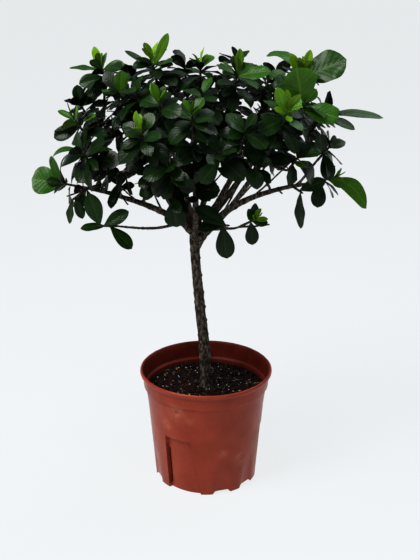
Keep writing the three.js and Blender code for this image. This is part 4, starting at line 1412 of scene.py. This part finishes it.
@dataclass
class SprayFrame:
    """Where a spray's stem stands."""

    spray: Spray

    def __post_init__(self) -> None:
        """Works out the stem's base, tip and directions."""
        self.tip = vec(self.spray.tip)
        way = unit(self.tip - vec(LEAFING.heart)) + vec((0, 0, LEAFING.upward))
        self.axis = unit(vec(self.spray.axis) if self.spray.axis else way)
        self.east, self.north = square_to(self.axis)
        self.base = self.tip - self.axis * LEAFING.stem

    def on(self, along: float) -> np.ndarray:
        """The point of the stem's axis at a share of its length."""
        return self.base + self.axis * LEAFING.stem * along

    def opened(self, root: np.ndarray, turn: float, opening: float, length: float, width: float, curl: float,
               sunk: float = 0) -> Leaf:
        """A leaf that opens from the stem.

        Args:
            root: the point of the stem's axis that it leaves.
            turn: degrees round the stem.
            opening: degrees between the leaf and the stem.
            length: its length.
            width: its greatest width.
            curl: how far it curls down, in radians.
            sunk: how far from the axis its stalk starts.

        Returns:
            The leaf.
        """
        angle, lean = math.radians(turn), math.radians(opening)
        out = self.east * math.cos(angle) + self.north * math.sin(angle)
        run = self.axis * math.cos(lean) + out * math.sin(lean)
        face = self.axis * math.sin(lean) - out * math.cos(lean)
        face = face + LEAFING.lightward * unit(root - vec(LEAFING.heart))
        return Leaf(root + out * sunk, run, face, length, width, curl)

    def leaves(self, name: str, index: int) -> list[Leaf]:
        """Every mature leaf of the spray, the listed ones first.

        Args:
            name: the spray's name.
            index: its place in the table of sprays.

        Returns:
            The leaves, before any is bent clear.
        """
        found = []
        for k, big in enumerate(self.spray.big):
            leaf = set_by_hand(big, self.on(LEAFING.big_top - LEAFING.big_step * k))
            leaf.age = BRIGHT.get((name, k), LEAST_BRIGHT)
            leaf.sweep = SWEPT.get((name, k), 0.0)
            found.append(leaf)
        for k in range(self.spray.leaves):
            along, opening, share, curl = LEAFING.pairs[k // 2]
            turn = spread(45 + 90 * (k // 2) + 180 * (k % 2), 9, index, k, 0)
            opening = spread(opening, 10, index, k, 1)
            length = self.spray.length * share * spread(1, 0.13, index, k, 2)
            width = length * LEAFING.width_share * spread(1, 0.12, index, k, 3)
            curl *= spread(1, 0.5, index, k, 4)
            root = self.on(along - 0.04 * (k % 2))
            leaf = self.opened(root, turn, opening, length, width, curl, LEAFING.sunk)
            leaf.age = LIVELY.get(name, LEAST_LIVELY) * FADE[k // 2] + 0.1 * draw(index, k, 7)
            found.append(leaf)
        return found

    def shoot_leaves(self, name: str, index: int) -> list[Leaf]:
        """Every leaf of the young shoot at the stem's tip.

        Args:
            name: the spray's name.
            index: its place in the table of sprays.

        Returns:
            The leaves.
        """
        found = []
        for k, (along, opening, share) in enumerate(LEAFING.shoot_leaves):
            turn = spread(180 * k + 53 * index, 20, index, k, 5)
            length = self.spray.shoot * share * spread(1, 0.1, index, k, 6)
            root = self.tip + self.axis * (LEAFING.shoot_gap + along)
            leaf = self.opened(root, turn, opening, length, length * LEAFING.shoot_width_share, 0.25)
            leaf.age = CALM.get(name, BRIGHTEST) + 0.2 * draw(index, k, 8)
            found.append(leaf)
        return found

    def route_in(self, start: np.ndarray, by: np.ndarray) -> list[np.ndarray]:
        """A curve that sets out towards a point and runs straight into the stem."""
        end = self.base - self.axis * LEAFING.gap
        return [start, by, end - self.axis * 0.35 * np.linalg.norm(by - end), end]


def limb_route(name: str) -> list[np.ndarray]:
    """A limb's Bezier route."""
    limb = LIMBS[name]
    return SprayFrame(SPRAYS[limb.to]).route_in(vec(limb.start), vec(limb.by))


def twig_route(spray: Spray) -> list[np.ndarray]:
    """The Bezier route of the twig from a limb to its spray.

    Args:
        spray: the spray.

    Returns:
        The route's four points.
    """
    limb = limb_route(spray.limb)
    root = bezier(limb, spray.at)
    stand = SprayFrame(spray)
    reach = np.linalg.norm(root - stand.base)
    return stand.route_in(root, root + bezier_way(limb, spray.at) * 0.3 * reach)


# ---------------- wood


@dataclass
class Wood:
    """Stem, limbs and twigs, grown together in one piece, with the knuckles where old leaves stood."""

    finish: Mottled
    stem: tuple[Triple, ...] = ((1, -1, 86), (1, 0, 190), (-10, 0, 240), (-15, 0, 338))
    stem_radii: Pair = (7.4, 5.6)
    flare: float = 2.4  # how much thicker the stem is where it leaves the compost
    flare_level: float = 118
    twig_radii: Pair = (1.9, 1.5)
    knuckle: float = 12  # between knuckles
    grain: float = 1.05  # the size that the joined wood is meshed to
    sway: float = 1.1  # how far a branch wanders from its route
    swell: float = 0.13  # how much thicker a branch is at a knuckle
    scar_pairs: int = 17
    scarred: Pair = (0.2, 0.74)  # where the pairs of scars start along the stem, and over what share of it
    relief: Pair = (0.5, 0.22)  # of the bark, on the stem and on the twigs
    plate: Pair = (3.2, 7)  # a plate of bark, across and along
    fissure: Pair = (1.6, 4.5)  # the finer cracks, across and along
    fissure_share: float = 0.6  # of the relief
    stem_column: Triple = (-7, 22, 345)  # the stem's middle along X, and the reach and height that hold it
    stubs: tuple[tuple[str, float, Triple, float], ...] = (  # limb, how far along, end, radius
        ("low_right", 0.97, (74, -76, 366), 1.3), ("left", 0.93, (-166, -22, 384), 1.2),
        ("left", 0.62, (-92, -30, 376), 1.2), ("right", 0.7, (90, -38, 392), 1.3),
        ("middle", 0.42, (-14, -26, 404), 1.2), ("front", 0.5, (8, -62, 404), 1.2),
        ("high_left", 0.5, (-84, -4, 418), 1.2), ("high_right", 0.5, (66, -18, 420), 1.2),
        ("right", 0.25, (52, -30, 428), 1.3), ("front_right", 0.3, (66, -62, 424), 1.3),
        ("left", 0.3, (-66, -24, 400), 1.3), ("left", 0.5, (-104, -34, 404), 1.2),
        ("right", 0.5, (98, -40, 430), 1.3), ("middle_right", 0.25, (26, -20, 420), 1.2))

    def build(self) -> None:
        """Makes the wood's piece."""
        pile = MeshPile()
        pile.add(*self.branch(self.stem, self.stem_radii, 60, 24, 0))
        pile.add(*self.collar())
        for index, (name, limb) in enumerate(LIMBS.items()):
            pile.add(*self.branch(limb_route(name), limb.radii, 40, 12, index + 1))
        for index, spray in enumerate(SPRAYS.values()):
            if spray.at:
                pile.add(*self.branch(twig_route(spray), self.twig_radii, 20, 10, index + 40))
        for limb, along, end, radius in self.stubs:
            start = bezier(limb_route(limb), along)
            pile.add(*tube([start, (start + vec(end)) / 2 + vec((0, 0, -0.8)), vec(end)],
                           [radius * 1.3, radius, radius], 8))
        for place, radius in self.scars():
            pile.add(*self.knob(place, radius))
        wood = pile.piece([self.finish.build()])
        apply_modifier(wood, "REMESH", mode="VOXEL", voxel_size=self.grain * MM)
        apply_modifier(wood, "SMOOTH", factor=0.5, iterations=2)
        self.crack(wood)
        smooth(wood, 60)
        keep(wood, "stem_and_branches", Slot.BARK, "wood")

    def branch(self, route: Sequence[Sequence[float]], radii: Pair, steps: int, sides: int,
               index: int) -> tuple[np.ndarray, Faces]:
        """A tapering branch with knuckles, wandering a little from its route between its ends.

        Args:
            route: its Bezier route.
            radii: its radii at the start and the end.
            steps: how many rings it has.
            sides: how many sides its section has.
            index: its number, which sets how it wanders.

        Returns:
            Its points and faces.
        """
        length = sum(np.linalg.norm(bezier(route, k / steps) - bezier(route, (k + 1) / steps))
                     for k in range(steps))
        points, widths = [], []
        for k in range(steps + 1):
            t = k / steps
            middle = bezier(route, t)
            side, up = square_to(bezier_way(route, t))
            sway = self.sway * math.sin(math.pi * t)
            middle = middle + side * sway * noise.noise(Vector((t * 5, index * 3.7, 0.5)))
            middle = middle + up * sway * noise.noise(Vector((t * 5, index * 3.7, 9.5)))
            knuckle = max(0.0, math.cos(2 * math.pi * t * length / self.knuckle)) ** 6
            radius = radii[0] + (radii[1] - radii[0]) * t
            points.append(middle)
            widths.append(radius * (1 + self.swell * knuckle) if 0 < k < steps else radius)
        return tube(points, widths, sides)

    def collar(self) -> tuple[np.ndarray, Faces]:
        """The stem's thicker foot in the compost.

        Returns:
            Its points and faces.
        """
        route = [bezier(self.stem, t) for t in np.linspace(0.05, 0.3, 12)]
        radii = [self.stem_radii[0] + self.flare * math.exp(-((p[2] - self.flare_level) / 13) ** 2) - 0.3
                 for p in route]
        return tube(route, radii, 20)

    def scars(self) -> list[tuple[np.ndarray, float]]:
        """Knobs on the stem where leaves and side twigs stood, in opposite pairs a quarter turn apart.

        Returns:
            Each knob's place and radius.
        """
        found = []
        for k in range(self.scar_pairs):
            t = self.scarred[0] + self.scarred[1] * k / self.scar_pairs
            middle, way = bezier(self.stem, t), bezier_way(self.stem, t)
            side, up = square_to(way)
            radius = self.stem_radii[0] + (self.stem_radii[1] - self.stem_radii[0]) * t
            for half in (0, 1):
                angle = math.radians(spread(20 + 90 * k + 180 * half, 18, k, half, 3))
                out = side * math.cos(angle) + up * math.sin(angle)
                size = spread(1.7, 0.5, k, half, 4)
                found.append((middle + out * (radius - 0.25 * size) + way * spread(0, 2.5, k, half, 5), size))
        return found

    def knob(self, place: np.ndarray, radius: float) -> tuple[np.ndarray, Faces]:
        """A short fat spindle, long up and down, at a place.

        Args:
            place: its middle.
            radius: its greatest radius.

        Returns:
            Its points and faces.
        """
        rise = vec((0, 0, 1))
        route = [place + rise * radius * 1.3 * s for s in (-1, -0.6, 0, 0.6, 1)]
        return tube(route, [radius * r for r in (0.25, 0.8, 1, 0.8, 0.25)], 8)

    def crack(self, wood: bpy.types.Object) -> None:
        """Gives the bark its cracks and plates, deeper on the stem than on the twigs.

        Args:
            wood: the joined wood.
        """
        mesh = wood.data
        points = coordinates(mesh)
        normals = np.empty(len(mesh.vertices) * 3)
        mesh.vertices.foreach_get("normal", normals)
        normals = normals.reshape(-1, 3)
        middle, reach, top = self.stem_column
        (wide, tall), (fine, long) = self.plate, self.fissure
        for k, (x, y, z) in enumerate(points / MM):
            on_stem = math.hypot(x - middle, y) < reach and z < top
            depth = self.relief[0] if on_stem else self.relief[1]
            plates = noise.noise(Vector((x / wide, y / wide, z / tall)))
            cracks = noise.noise(Vector((x / fine, y / fine, z / long + 20)))
            points[k] += normals[k] * MM * depth * (plates + self.fissure_share * cracks)
        move_points(mesh, points)


# ---------------- leaves


STALK = 0.75  # half width of a leaf's stalk
RISE = 1.15  # how sharply a blade widens from its stalk


def blade_shape(along: np.ndarray, fall: float) -> np.ndarray:
    """Half the width of a blade, as a share of its greatest.

    Args:
        along: places along the blade, from its stalk at 0 to its tip at 1.
        fall: how sharply it narrows to its tip.

    Returns:
        The share at each place.
    """
    peak = RISE / (RISE + fall)
    along = np.clip(along, 0, 1)
    return along ** RISE * (1 - along) ** fall / (peak ** RISE * (1 - peak) ** fall)


class BladePattern:
    """One blade, modelled flat and then copied to every leaf: an upper and a lower skin that meet at the rim.

    Across runs from -1 to 1, along from 0 at the stalk to 1 at the tip, and the skins are at 1 and -1.
    """

    def __init__(self, across: int, along: Sequence[float]) -> None:
        """Models the blade.

        Args:
            across: how many faces wide it is.
            along: where its rows stand, from 0 to 1.
        """
        bpy.ops.mesh.primitive_grid_add(x_subdivisions=across, y_subdivisions=len(along) - 1, size=2)
        blade = bpy.context.object
        mesh = blade.data
        bpy.ops.object.mode_set(mode="EDIT")
        bpy.ops.mesh.select_all(action="SELECT")
        bpy.ops.mesh.duplicate()
        bpy.ops.mesh.flip_normals()
        bpy.ops.object.mode_set(mode="OBJECT")
        points = coordinates(mesh)
        rows = np.rint((points[:, 1] + 1) / 2 * (len(along) - 1)).astype(int)
        skin = np.ones(len(points))
        skin[len(points) // 2:] = -1
        rim = (np.abs(points[:, 0]) > 0.999) | (np.abs(points[:, 1]) > 0.999)
        skin[rim] = 0
        points[:, 1] = np.array(along)[rows]
        points[:, 2] = skin
        points[rows == len(along) - 1, 0] = 0
        move_points(mesh, points)
        bpy.ops.object.mode_set(mode="EDIT")
        bpy.ops.mesh.select_all(action="SELECT")
        bpy.ops.mesh.remove_doubles(threshold=1e-4)
        bpy.ops.object.mode_set(mode="OBJECT")
        self.points = coordinates(mesh)
        self.faces: Faces = [tuple(face.vertices) for face in mesh.polygons]
        self.skins = [Skin.UNDER if sum(self.points[k][2] for k in face) < 0 else Skin.UPPER
                      for face in self.faces]
        bpy.data.objects.remove(blade)
        self.map = np.stack([self.points[:, 0] / 2 + 0.5, self.points[:, 1]], axis=1)

    def shaped(self, leaf: Leaf) -> np.ndarray:
        """The blade's points on one leaf.

        Args:
            leaf: its place and form.

        Returns:
            Points, arched down the length, folded along the midrib, with a waved margin and a thin rim.
        """
        across, along, skin = self.points.T
        half = np.maximum(leaf.width / 2 * blade_shape(along, leaf.blunt), STALK * (1 - along))
        turn = leaf.curl * along
        cup = leaf.fold * np.abs(across) - 0.55 * leaf.fold * across ** 2
        ripple = leaf.wave * across ** 2 * np.sin(2 * math.pi * (2.2 * along + leaf.luck) + across)
        depth = 0.5 * (0.32 + 0.7 * (1 - along) ** 3)
        rise = half * (cup + ripple) + skin * depth
        swing = leaf.twist * along
        aside = half * across * np.cos(swing) - rise * np.sin(swing)
        lift = half * across * np.sin(swing) + rise * np.cos(swing)
        run = leaf.length * np.sin(turn) / leaf.curl + lift * np.sin(turn)
        drop = lift * np.cos(turn) - leaf.length * (1 - np.cos(turn)) / leaf.curl
        aside = aside + leaf.sweep * leaf.length * np.sin(math.pi * along)
        return leaf.root + np.outer(run, leaf.run) + np.outer(drop, leaf.face) + np.outer(aside, leaf.side())


@dataclass
class Neighbours:
    """Points of every leaf and twig so far, to keep new leaves clear of them."""

    clear: float = 1.7
    room: int = 60000

    def __post_init__(self) -> None:
        """Starts with no points."""
        self.points = np.empty((self.room, 3))
        self.count = 0

    def add(self, points: np.ndarray) -> None:
        """Adds points to keep clear of."""
        self.points[self.count:self.count + len(points)] = points
        self.count += len(points)

    def free(self, points: np.ndarray) -> bool:
        """Whether these points are all clear of the points so far.

        Args:
            points: a new leaf's points.

        Returns:
            True where there is room.
        """
        middle = points.mean(axis=0)
        reach = np.abs(points - middle).max() + self.clear
        taken = self.points[:self.count]
        near = taken[(np.abs(taken - middle) < reach).all(axis=1)]
        if not len(near):
            return True
        gaps = ((points[:, None, :] - near[None, :, :]) ** 2).sum(axis=2)
        return bool(gaps.min() > self.clear ** 2)


@dataclass
class Foliage:
    """Every leaf of the crown: the sprays, the young shoots, and the leaves further in along the twigs."""

    finishes: Finishes
    near_tip: float = 0.06  # how near the frame's own mesh a bent leaf's tip has to lie
    plump: float = 1.06  # how much wider the fine blades are than the frame's
    inner_gap: float = 9  # between pairs of inner leaves along a twig
    inner_length: Pair = (20, 32)
    inner_low: Pair = (392, 436)  # the limbs are bare below this, at the left and at the right
    bare: tuple[str, ...] = ("right", "front_right", "low_right", "high_right", "middle_right")
    sparse: tuple[str, ...] = ("front_left_face", "front_face", "front_right_low", "right_inner",
                               "front_right_side", "left_inner", "left_middle", "left_end", "right_upper")
    withered_on: str = "front_right_tip"
    withered_at: float = 0.3  # how far along that spray's stem
    withered: Big = Big((-0.5, -0.7, 0.15), (-0.2, -0.5, 0.8), 24, 11, 1.3)
    extra: int = 18  # further leaves tried on a spray, between its pairs
    extra_sparse: int = 6  # and on a spray that lets the light through
    short: float = 0.87  # how much shorter the fine blades are than the frame's
    calm: Pair = (0.6, 0.4)  # shares of fold and twist that a listed leaf keeps
    stalk_end: float = 0.2  # a leaf may touch others up to here, as a share of its length
    crease: float = 48  # degrees: sharper edges of a blade or stem aren't smoothed
    grown_lightward: float = 0.9  # how far an inner leaf turns its face out of the crown

    def __post_init__(self) -> None:
        """Models the blades and makes the materials."""
        self.blade = BladePattern(4, (0, 0.1, 0.25, 0.42, 0.6, 0.77, 0.91, 1))
        self.fine_blade = BladePattern(8, [0, 0.05] + [0.12 + 0.88 * k / 12 for k in range(13)])
        skins = (self.finishes.upper, self.finishes.under, self.finishes.green_stem, self.finishes.withered)
        self.skins = [skin.build() for skin in skins]  # in the order of Skin
        self.neighbours = Neighbours()
        self.dropped = 0

    def build(self) -> None:
        """Makes every piece of foliage."""
        for name in LIMBS:
            self.mark_route(limb_route(name), 0.25)
        for spray in SPRAYS.values():
            if spray.at:
                self.mark_route(twig_route(spray), 0.1)
        for index, (name, spray) in enumerate(SPRAYS.items()):
            self.spray(index, name, spray)
        for index, (name, spray) in enumerate(SPRAYS.items()):
            if spray.shoot:
                self.shoot(index, name, spray)
        for name in LIMBS:
            self.inner_leaves(name)
        log.info("leaves left out: %d", self.dropped)

    def mark_route(self, route: Sequence[np.ndarray], start: float) -> None:
        """Keeps leaves clear of a twig."""
        self.neighbours.add(np.array([bezier(route, t) for t in np.linspace(start, 1, 30)]))

    def as_grown(self, leaf: Leaf, mesh_points: np.ndarray) -> bool:
        """Bends a leaf the way that the frame's solid was bent.

        Args:
            leaf: the leaf, which is bent in place.
            mesh_points: the points of the frame's node.

        Returns:
            Whether the frame has this leaf at all.
        """
        start = (leaf.run, leaf.face, leaf.length)
        for bend in LEAFING.bends:
            leaf.run, leaf.face, leaf.length = start
            leaf.bent(*bend)
            gaps = np.abs(mesh_points - leaf.tip()).max(axis=1)
            if gaps.min() < self.near_tip:
                return True
        return False

    def touched_up(self, leaf: Leaf, index: int, k: int) -> None:
        """Gives a leaf its own fold, twist, wave and shade.

        Args:
            leaf: the leaf.
            index: its spray's or twig's number.
            k: its own number there.
        """
        leaf.fold = spread(0.34, 0.14, index, k, 11)
        leaf.twist = spread(0, 0.35, index, k, 12)
        leaf.wave = spread(0.07, 0.05, index, k, 13)
        leaf.luck = draw(index, k, 14)
        leaf.blunt = spread(0.62 if leaf.width > 0.6 * leaf.length else 0.76, 0.12, index, k, 15)

    def put(self, pile: MeshPile, leaf: Leaf, fine: bool = False) -> None:
        """Adds a leaf to a piece and to the neighbours.

        Args:
            pile: the piece.
            leaf: the leaf.
            fine: whether it takes the finer blade.
        """
        pattern = self.fine_blade if fine else self.blade
        points = pattern.shaped(leaf)
        pile.add(points, pattern.faces, pattern.skins, pattern.map, leaf.age, leaf.luck)
        self.neighbours.add(points[(pattern.points[:, 1] > self.stalk_end) & (pattern.points[:, 2] >= 0)])

    def stem(self, pile: MeshPile, stand: SprayFrame) -> None:
        """Adds a spray's stem with its knuckles, and the pointed bud at its tip.

        Args:
            pile: the piece.
            stand: where the spray stands.
        """
        shares = [-0.02] + [k / 12 for k in range(13)] + [1.05, 1.16]
        radii = []
        for share in shares:
            knuckle = max(math.exp(-((share - along) * LEAFING.stem / 1.1) ** 2)
                          for along, *_ in LEAFING.pairs)
            radii.append(1.5 - 0.35 * share + 0.35 * knuckle)
        radii[-2:] = [0.95, 0.15]
        route = [stand.on(share) for share in shares]
        pile.add(*tube(route, radii, 8), finish=Skin.STEM)

    def spray(self, index: int, name: str, spray: Spray) -> None:
        """Makes the piece of one spray: its stem and its mature leaves.

        Args:
            index: its place in the table of sprays.
            name: its name.
            spray: the spray.
        """
        node = f"spray_{name}"
        mesh_points = coordinates(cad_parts[node].data) / MM
        stand = SprayFrame(spray)
        pile = MeshPile()
        self.stem(pile, stand)
        for k, leaf in enumerate(stand.leaves(name, index)):
            if not self.as_grown(leaf, mesh_points):
                self.dropped += 1
                continue
            self.touched_up(leaf, index, k)
            by_hand = k < len(spray.big)
            if by_hand:
                leaf.fold *= self.calm[0]
                leaf.twist *= self.calm[1]
            else:
                leaf.width *= self.plump
                leaf.length *= self.short
            slim, short = TRIMMED.get((name, k), (1, 1))
            leaf.width *= slim
            leaf.length *= short
            self.put(pile, leaf, fine=by_hand)
        for along, big, age in FURTHER.get(name, ()):
            leaf = set_by_hand(big, stand.on(along), age)
            leaf.straightened()
            self.put(pile, leaf, fine=True)
        if spray.leaves > 4:
            self.extra_leaves(pile, stand, index, self.extra_sparse if name in self.sparse else self.extra)
        if name == self.withered_on:
            leaf = set_by_hand(self.withered, stand.on(self.withered_at))
            self.touched_up(leaf, index, 70)
            leaf.fold = 1.1
            blade = self.fine_blade
            pile.add(blade.shaped(leaf), blade.faces, Skin.WITHERED, blade.map, 0, leaf.luck)
        piece = pile.piece(self.skins)
        smooth(piece, self.crease)
        keep(piece, f"leaves_{name}", Slot.LEAF, node)

    def extra_leaves(self, pile: MeshPile, stand: SprayFrame, index: int, tries: int) -> None:
        """Adds further leaves between a spray's pairs, wherever there is room.

        Args:
            pile: the piece.
            stand: where the spray stands.
            index: its place in the table.
            tries: how many leaves are tried.
        """
        for k in range(tries):
            root = stand.on(0.98 - 0.05 * k)
            length = stand.spray.length * spread(0.68, 0.14, index, k, 30)
            turn = spread(100 * k, 40, index, k, 31)
            opening = spread(44 + 4.2 * k, 20, index, k, 32)
            curl = spread(0.5, 0.3, index, k, 33)
            leaf = stand.opened(root, turn, opening, length, length * 0.52, curl, LEAFING.sunk)
            leaf.straightened()
            leaf.age = 0.14 * draw(index, k, 34)
            self.touched_up(leaf, index, k + 40)
            self.put_if_free(pile, leaf)

    def put_if_free(self, pile: MeshPile, leaf: Leaf) -> None:
        """Adds a leaf where there is room for it.

        Args:
            pile: the piece.
            leaf: the leaf.
        """
        points = self.blade.shaped(leaf)
        if self.neighbours.free(points[self.blade.points[:, 1] > self.stalk_end]):
            self.put(pile, leaf)

    def shoot(self, index: int, name: str, spray: Spray) -> None:
        """Makes the piece of one young shoot.

        Args:
            index: its spray's place in the table.
            name: the spray's name.
            spray: the spray.
        """
        node = f"shoot_{name}"
        mesh_points = coordinates(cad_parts[node].data) / MM
        pile = MeshPile()
        for k, leaf in enumerate(SprayFrame(spray).shoot_leaves(name, index)):
            if not self.as_grown(leaf, mesh_points):
                self.dropped += 1
                continue
            self.touched_up(leaf, index, k + 20)
            leaf.fold = 0.5
            self.put(pile, leaf, fine=True)
        piece = pile.piece(self.skins)
        smooth(piece, self.crease)
        keep(piece, f"young_leaves_{name}", Slot.YOUNG_LEAF, node)

    def inner_leaves(self, limb: str) -> None:
        """Makes the piece of the leaves further in, along one limb and its twigs.

        Args:
            limb: the limb's name.
        """
        limb_index = list(LIMBS).index(limb)
        pile = MeshPile()
        routes = [(limb_route(limb), 0.42)]
        routes += [(twig_route(spray), 0.15) for spray in SPRAYS.values() if spray.limb == limb and spray.at]
        for n, (route, start) in enumerate(routes):
            length = np.linalg.norm(bezier(route, 1) - bezier(route, start)) * 1.05
            pairs = max(int(length / self.inner_gap), 1)
            for k in range(pairs * 6):
                t = start + (1 - start) * (k // 6 + 0.5) / pairs
                if bezier(route, t)[2] > self.inner_low[limb in self.bare]:
                    self.put_if_free(pile, self.inner_leaf(route, t, k, limb_index * 10 + n))
        if not pile.points:
            return
        piece = pile.piece(self.skins)
        smooth(piece, self.crease)
        keep(piece, f"inner_leaves_{limb}", Slot.LEAF)

    def inner_leaf(self, route: Sequence[np.ndarray], t: float, k: int, index: int) -> Leaf:
        """A leaf on a twig.

        Args:
            route: the twig's route.
            t: how far along it the leaf stands.
            k: the leaf's number on the twig.
            index: the twig's number.

        Returns:
            The leaf, which leans out of the crown and turns its face to the light.
        """
        middle, way = bezier(route, t), bezier_way(route, t)
        side, up = square_to(way)
        angle = math.radians(spread(60 * k + 25 * (k // 6), 25, index, k, 1))
        lean = math.radians(spread(66, 22, index, k, 2))
        out = side * math.cos(angle) + up * math.sin(angle)
        run = way * math.cos(lean) + out * math.sin(lean)
        outward = unit(middle - vec(LEAFING.heart))
        face = way * math.sin(lean) - out * math.cos(lean) + self.grown_lightward * outward
        length = spread(sum(self.inner_length) / 2, (self.inner_length[1] - self.inner_length[0]) / 2,
                        index, k, 3)
        leaf = Leaf(middle, run, face, length, length * spread(0.54, 0.06, index, k, 4),
                    spread(0.5, 0.25, index, k, 5))
        leaf.straightened()
        leaf.age = 0.1 * draw(index, k, 6)
        self.touched_up(leaf, index, k)
        return leaf


# ---------------- the studio


@dataclass
class Studio:
    """A pale floor, soft light from all round and above, and the camera."""

    camera_at: Triple = (5.2, -1186, 713)
    pitch: float = 20.5  # degrees that the camera looks down
    lens: float = 65.06
    floor_half: float = 20000
    paper: str = "#4b4d50"
    glow: str = "#f3f5f6"
    glow_strength: float = 0.898
    aim: Triple = (0, 0, 350)  # what the lamps shine on
    contrast: float = 0.84  # below 1 the darks are deeper, as in a brisk studio print

    def build(self) -> None:
        """Makes the floor, the lights and the camera."""
        self.floor()
        self.dome()
        self.lamp("key light", (-900, -700, 1700), 900, 38, "#fffdf8")
        self.lamp("back light", (700, 500, 1600), 900, 9, "#f2f7ff")
        self.lamp("glint light", (-200, -500, 2100), 260, 9, "#ffffff")
        self.camera()

    def floor(self) -> None:
        """Makes the pale floor, lit from behind like a light table so that shadows on it stay faint."""
        bpy.ops.mesh.primitive_plane_add(size=2 * self.floor_half * MM)
        plane = bpy.context.object
        plane.name = "studio_floor"
        material = bpy.data.materials.new("white studio paper")
        material.use_nodes = True
        shader = material.node_tree.nodes["Principled BSDF"]
        shader.inputs["Base Color"].default_value = linear(self.paper)
        shader.inputs["Roughness"].default_value = 0.9
        shader.inputs["Specular IOR Level"].default_value = 0.0
        shader.inputs["Emission Color"].default_value = linear(self.glow)
        shader.inputs["Emission Strength"].default_value = self.glow_strength
        plane.data.materials.append(material)

    def dome(self) -> None:
        """Makes the soft light from all round, brighter low down."""
        world = bpy.data.worlds.new("soft studio")
        world.use_nodes = True
        bpy.context.scene.world = world
        tree = world.node_tree
        way = add_node(tree, "ShaderNodeTexCoord").outputs["Generated"]
        height = add_node(tree, "ShaderNodeSeparateXYZ", {0: way}).outputs[2]
        glow = add_node(tree, "ShaderNodeValToRGB", {"Fac": height},
                        ramp=((0.0, "#f1f4f7"), (1.0, "#a4aab2"), (0.06, "#eef2f5"), (0.16, "#70767d")))
        background = tree.nodes["Background"]
        tree.links.new(glow.outputs["Color"], background.inputs["Color"])
        background.inputs["Strength"].default_value = 1.0

    def lamp(self, name: str, place: Triple, size: float, power: float, colour: str) -> None:
        """Adds a square soft lamp that shines on the crown.

        Args:
            name: its name.
            place: where it hangs, in millimetres.
            size: its edge in millimetres.
            power: its power in watts.
            colour: its colour.
        """
        light = bpy.data.lights.new(name, "AREA")
        light.size = size * MM
        light.energy = power
        light.color = linear(colour)[:3]
        lamp = bpy.data.objects.new(name, light)
        lamp.location = vec(place) * MM
        way = Vector(vec(self.aim) * MM) - lamp.location
        lamp.rotation_euler = way.to_track_quat("-Z", "Y").to_euler()
        bpy.context.collection.objects.link(lamp)

    def camera(self) -> None:
        """Adds the camera and makes it the scene's own."""
        data = bpy.data.cameras.new("camera")
        data.lens = self.lens
        camera = bpy.data.objects.new("camera", data)
        camera.location = vec(self.camera_at) * MM
        camera.rotation_euler = (math.radians(90 - self.pitch), 0, 0)
        bpy.context.collection.objects.link(camera)
        bpy.context.scene.camera = camera
        bpy.context.scene.view_settings.view_transform = "Standard"
        bpy.context.scene.view_settings.gamma = self.contrast


def main() -> None:
    """Builds the plant, its pot and the studio."""
    logging.basicConfig(level=logging.INFO, format="%(message)s")
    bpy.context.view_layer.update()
    bpy.ops.object.select_all(action="DESELECT")
    finishes = Finishes()
    Studio().build()
    pot = Pot(finishes.pot, finishes.pot_painted_shade)
    pot.build()
    compost = Compost(finishes.compost, pot)
    compost.build()
    Litter(compost, finishes).build()
    Wood(finishes.bark).build()
    Foliage(finishes).build()


if __name__ == "__main__":
    main()
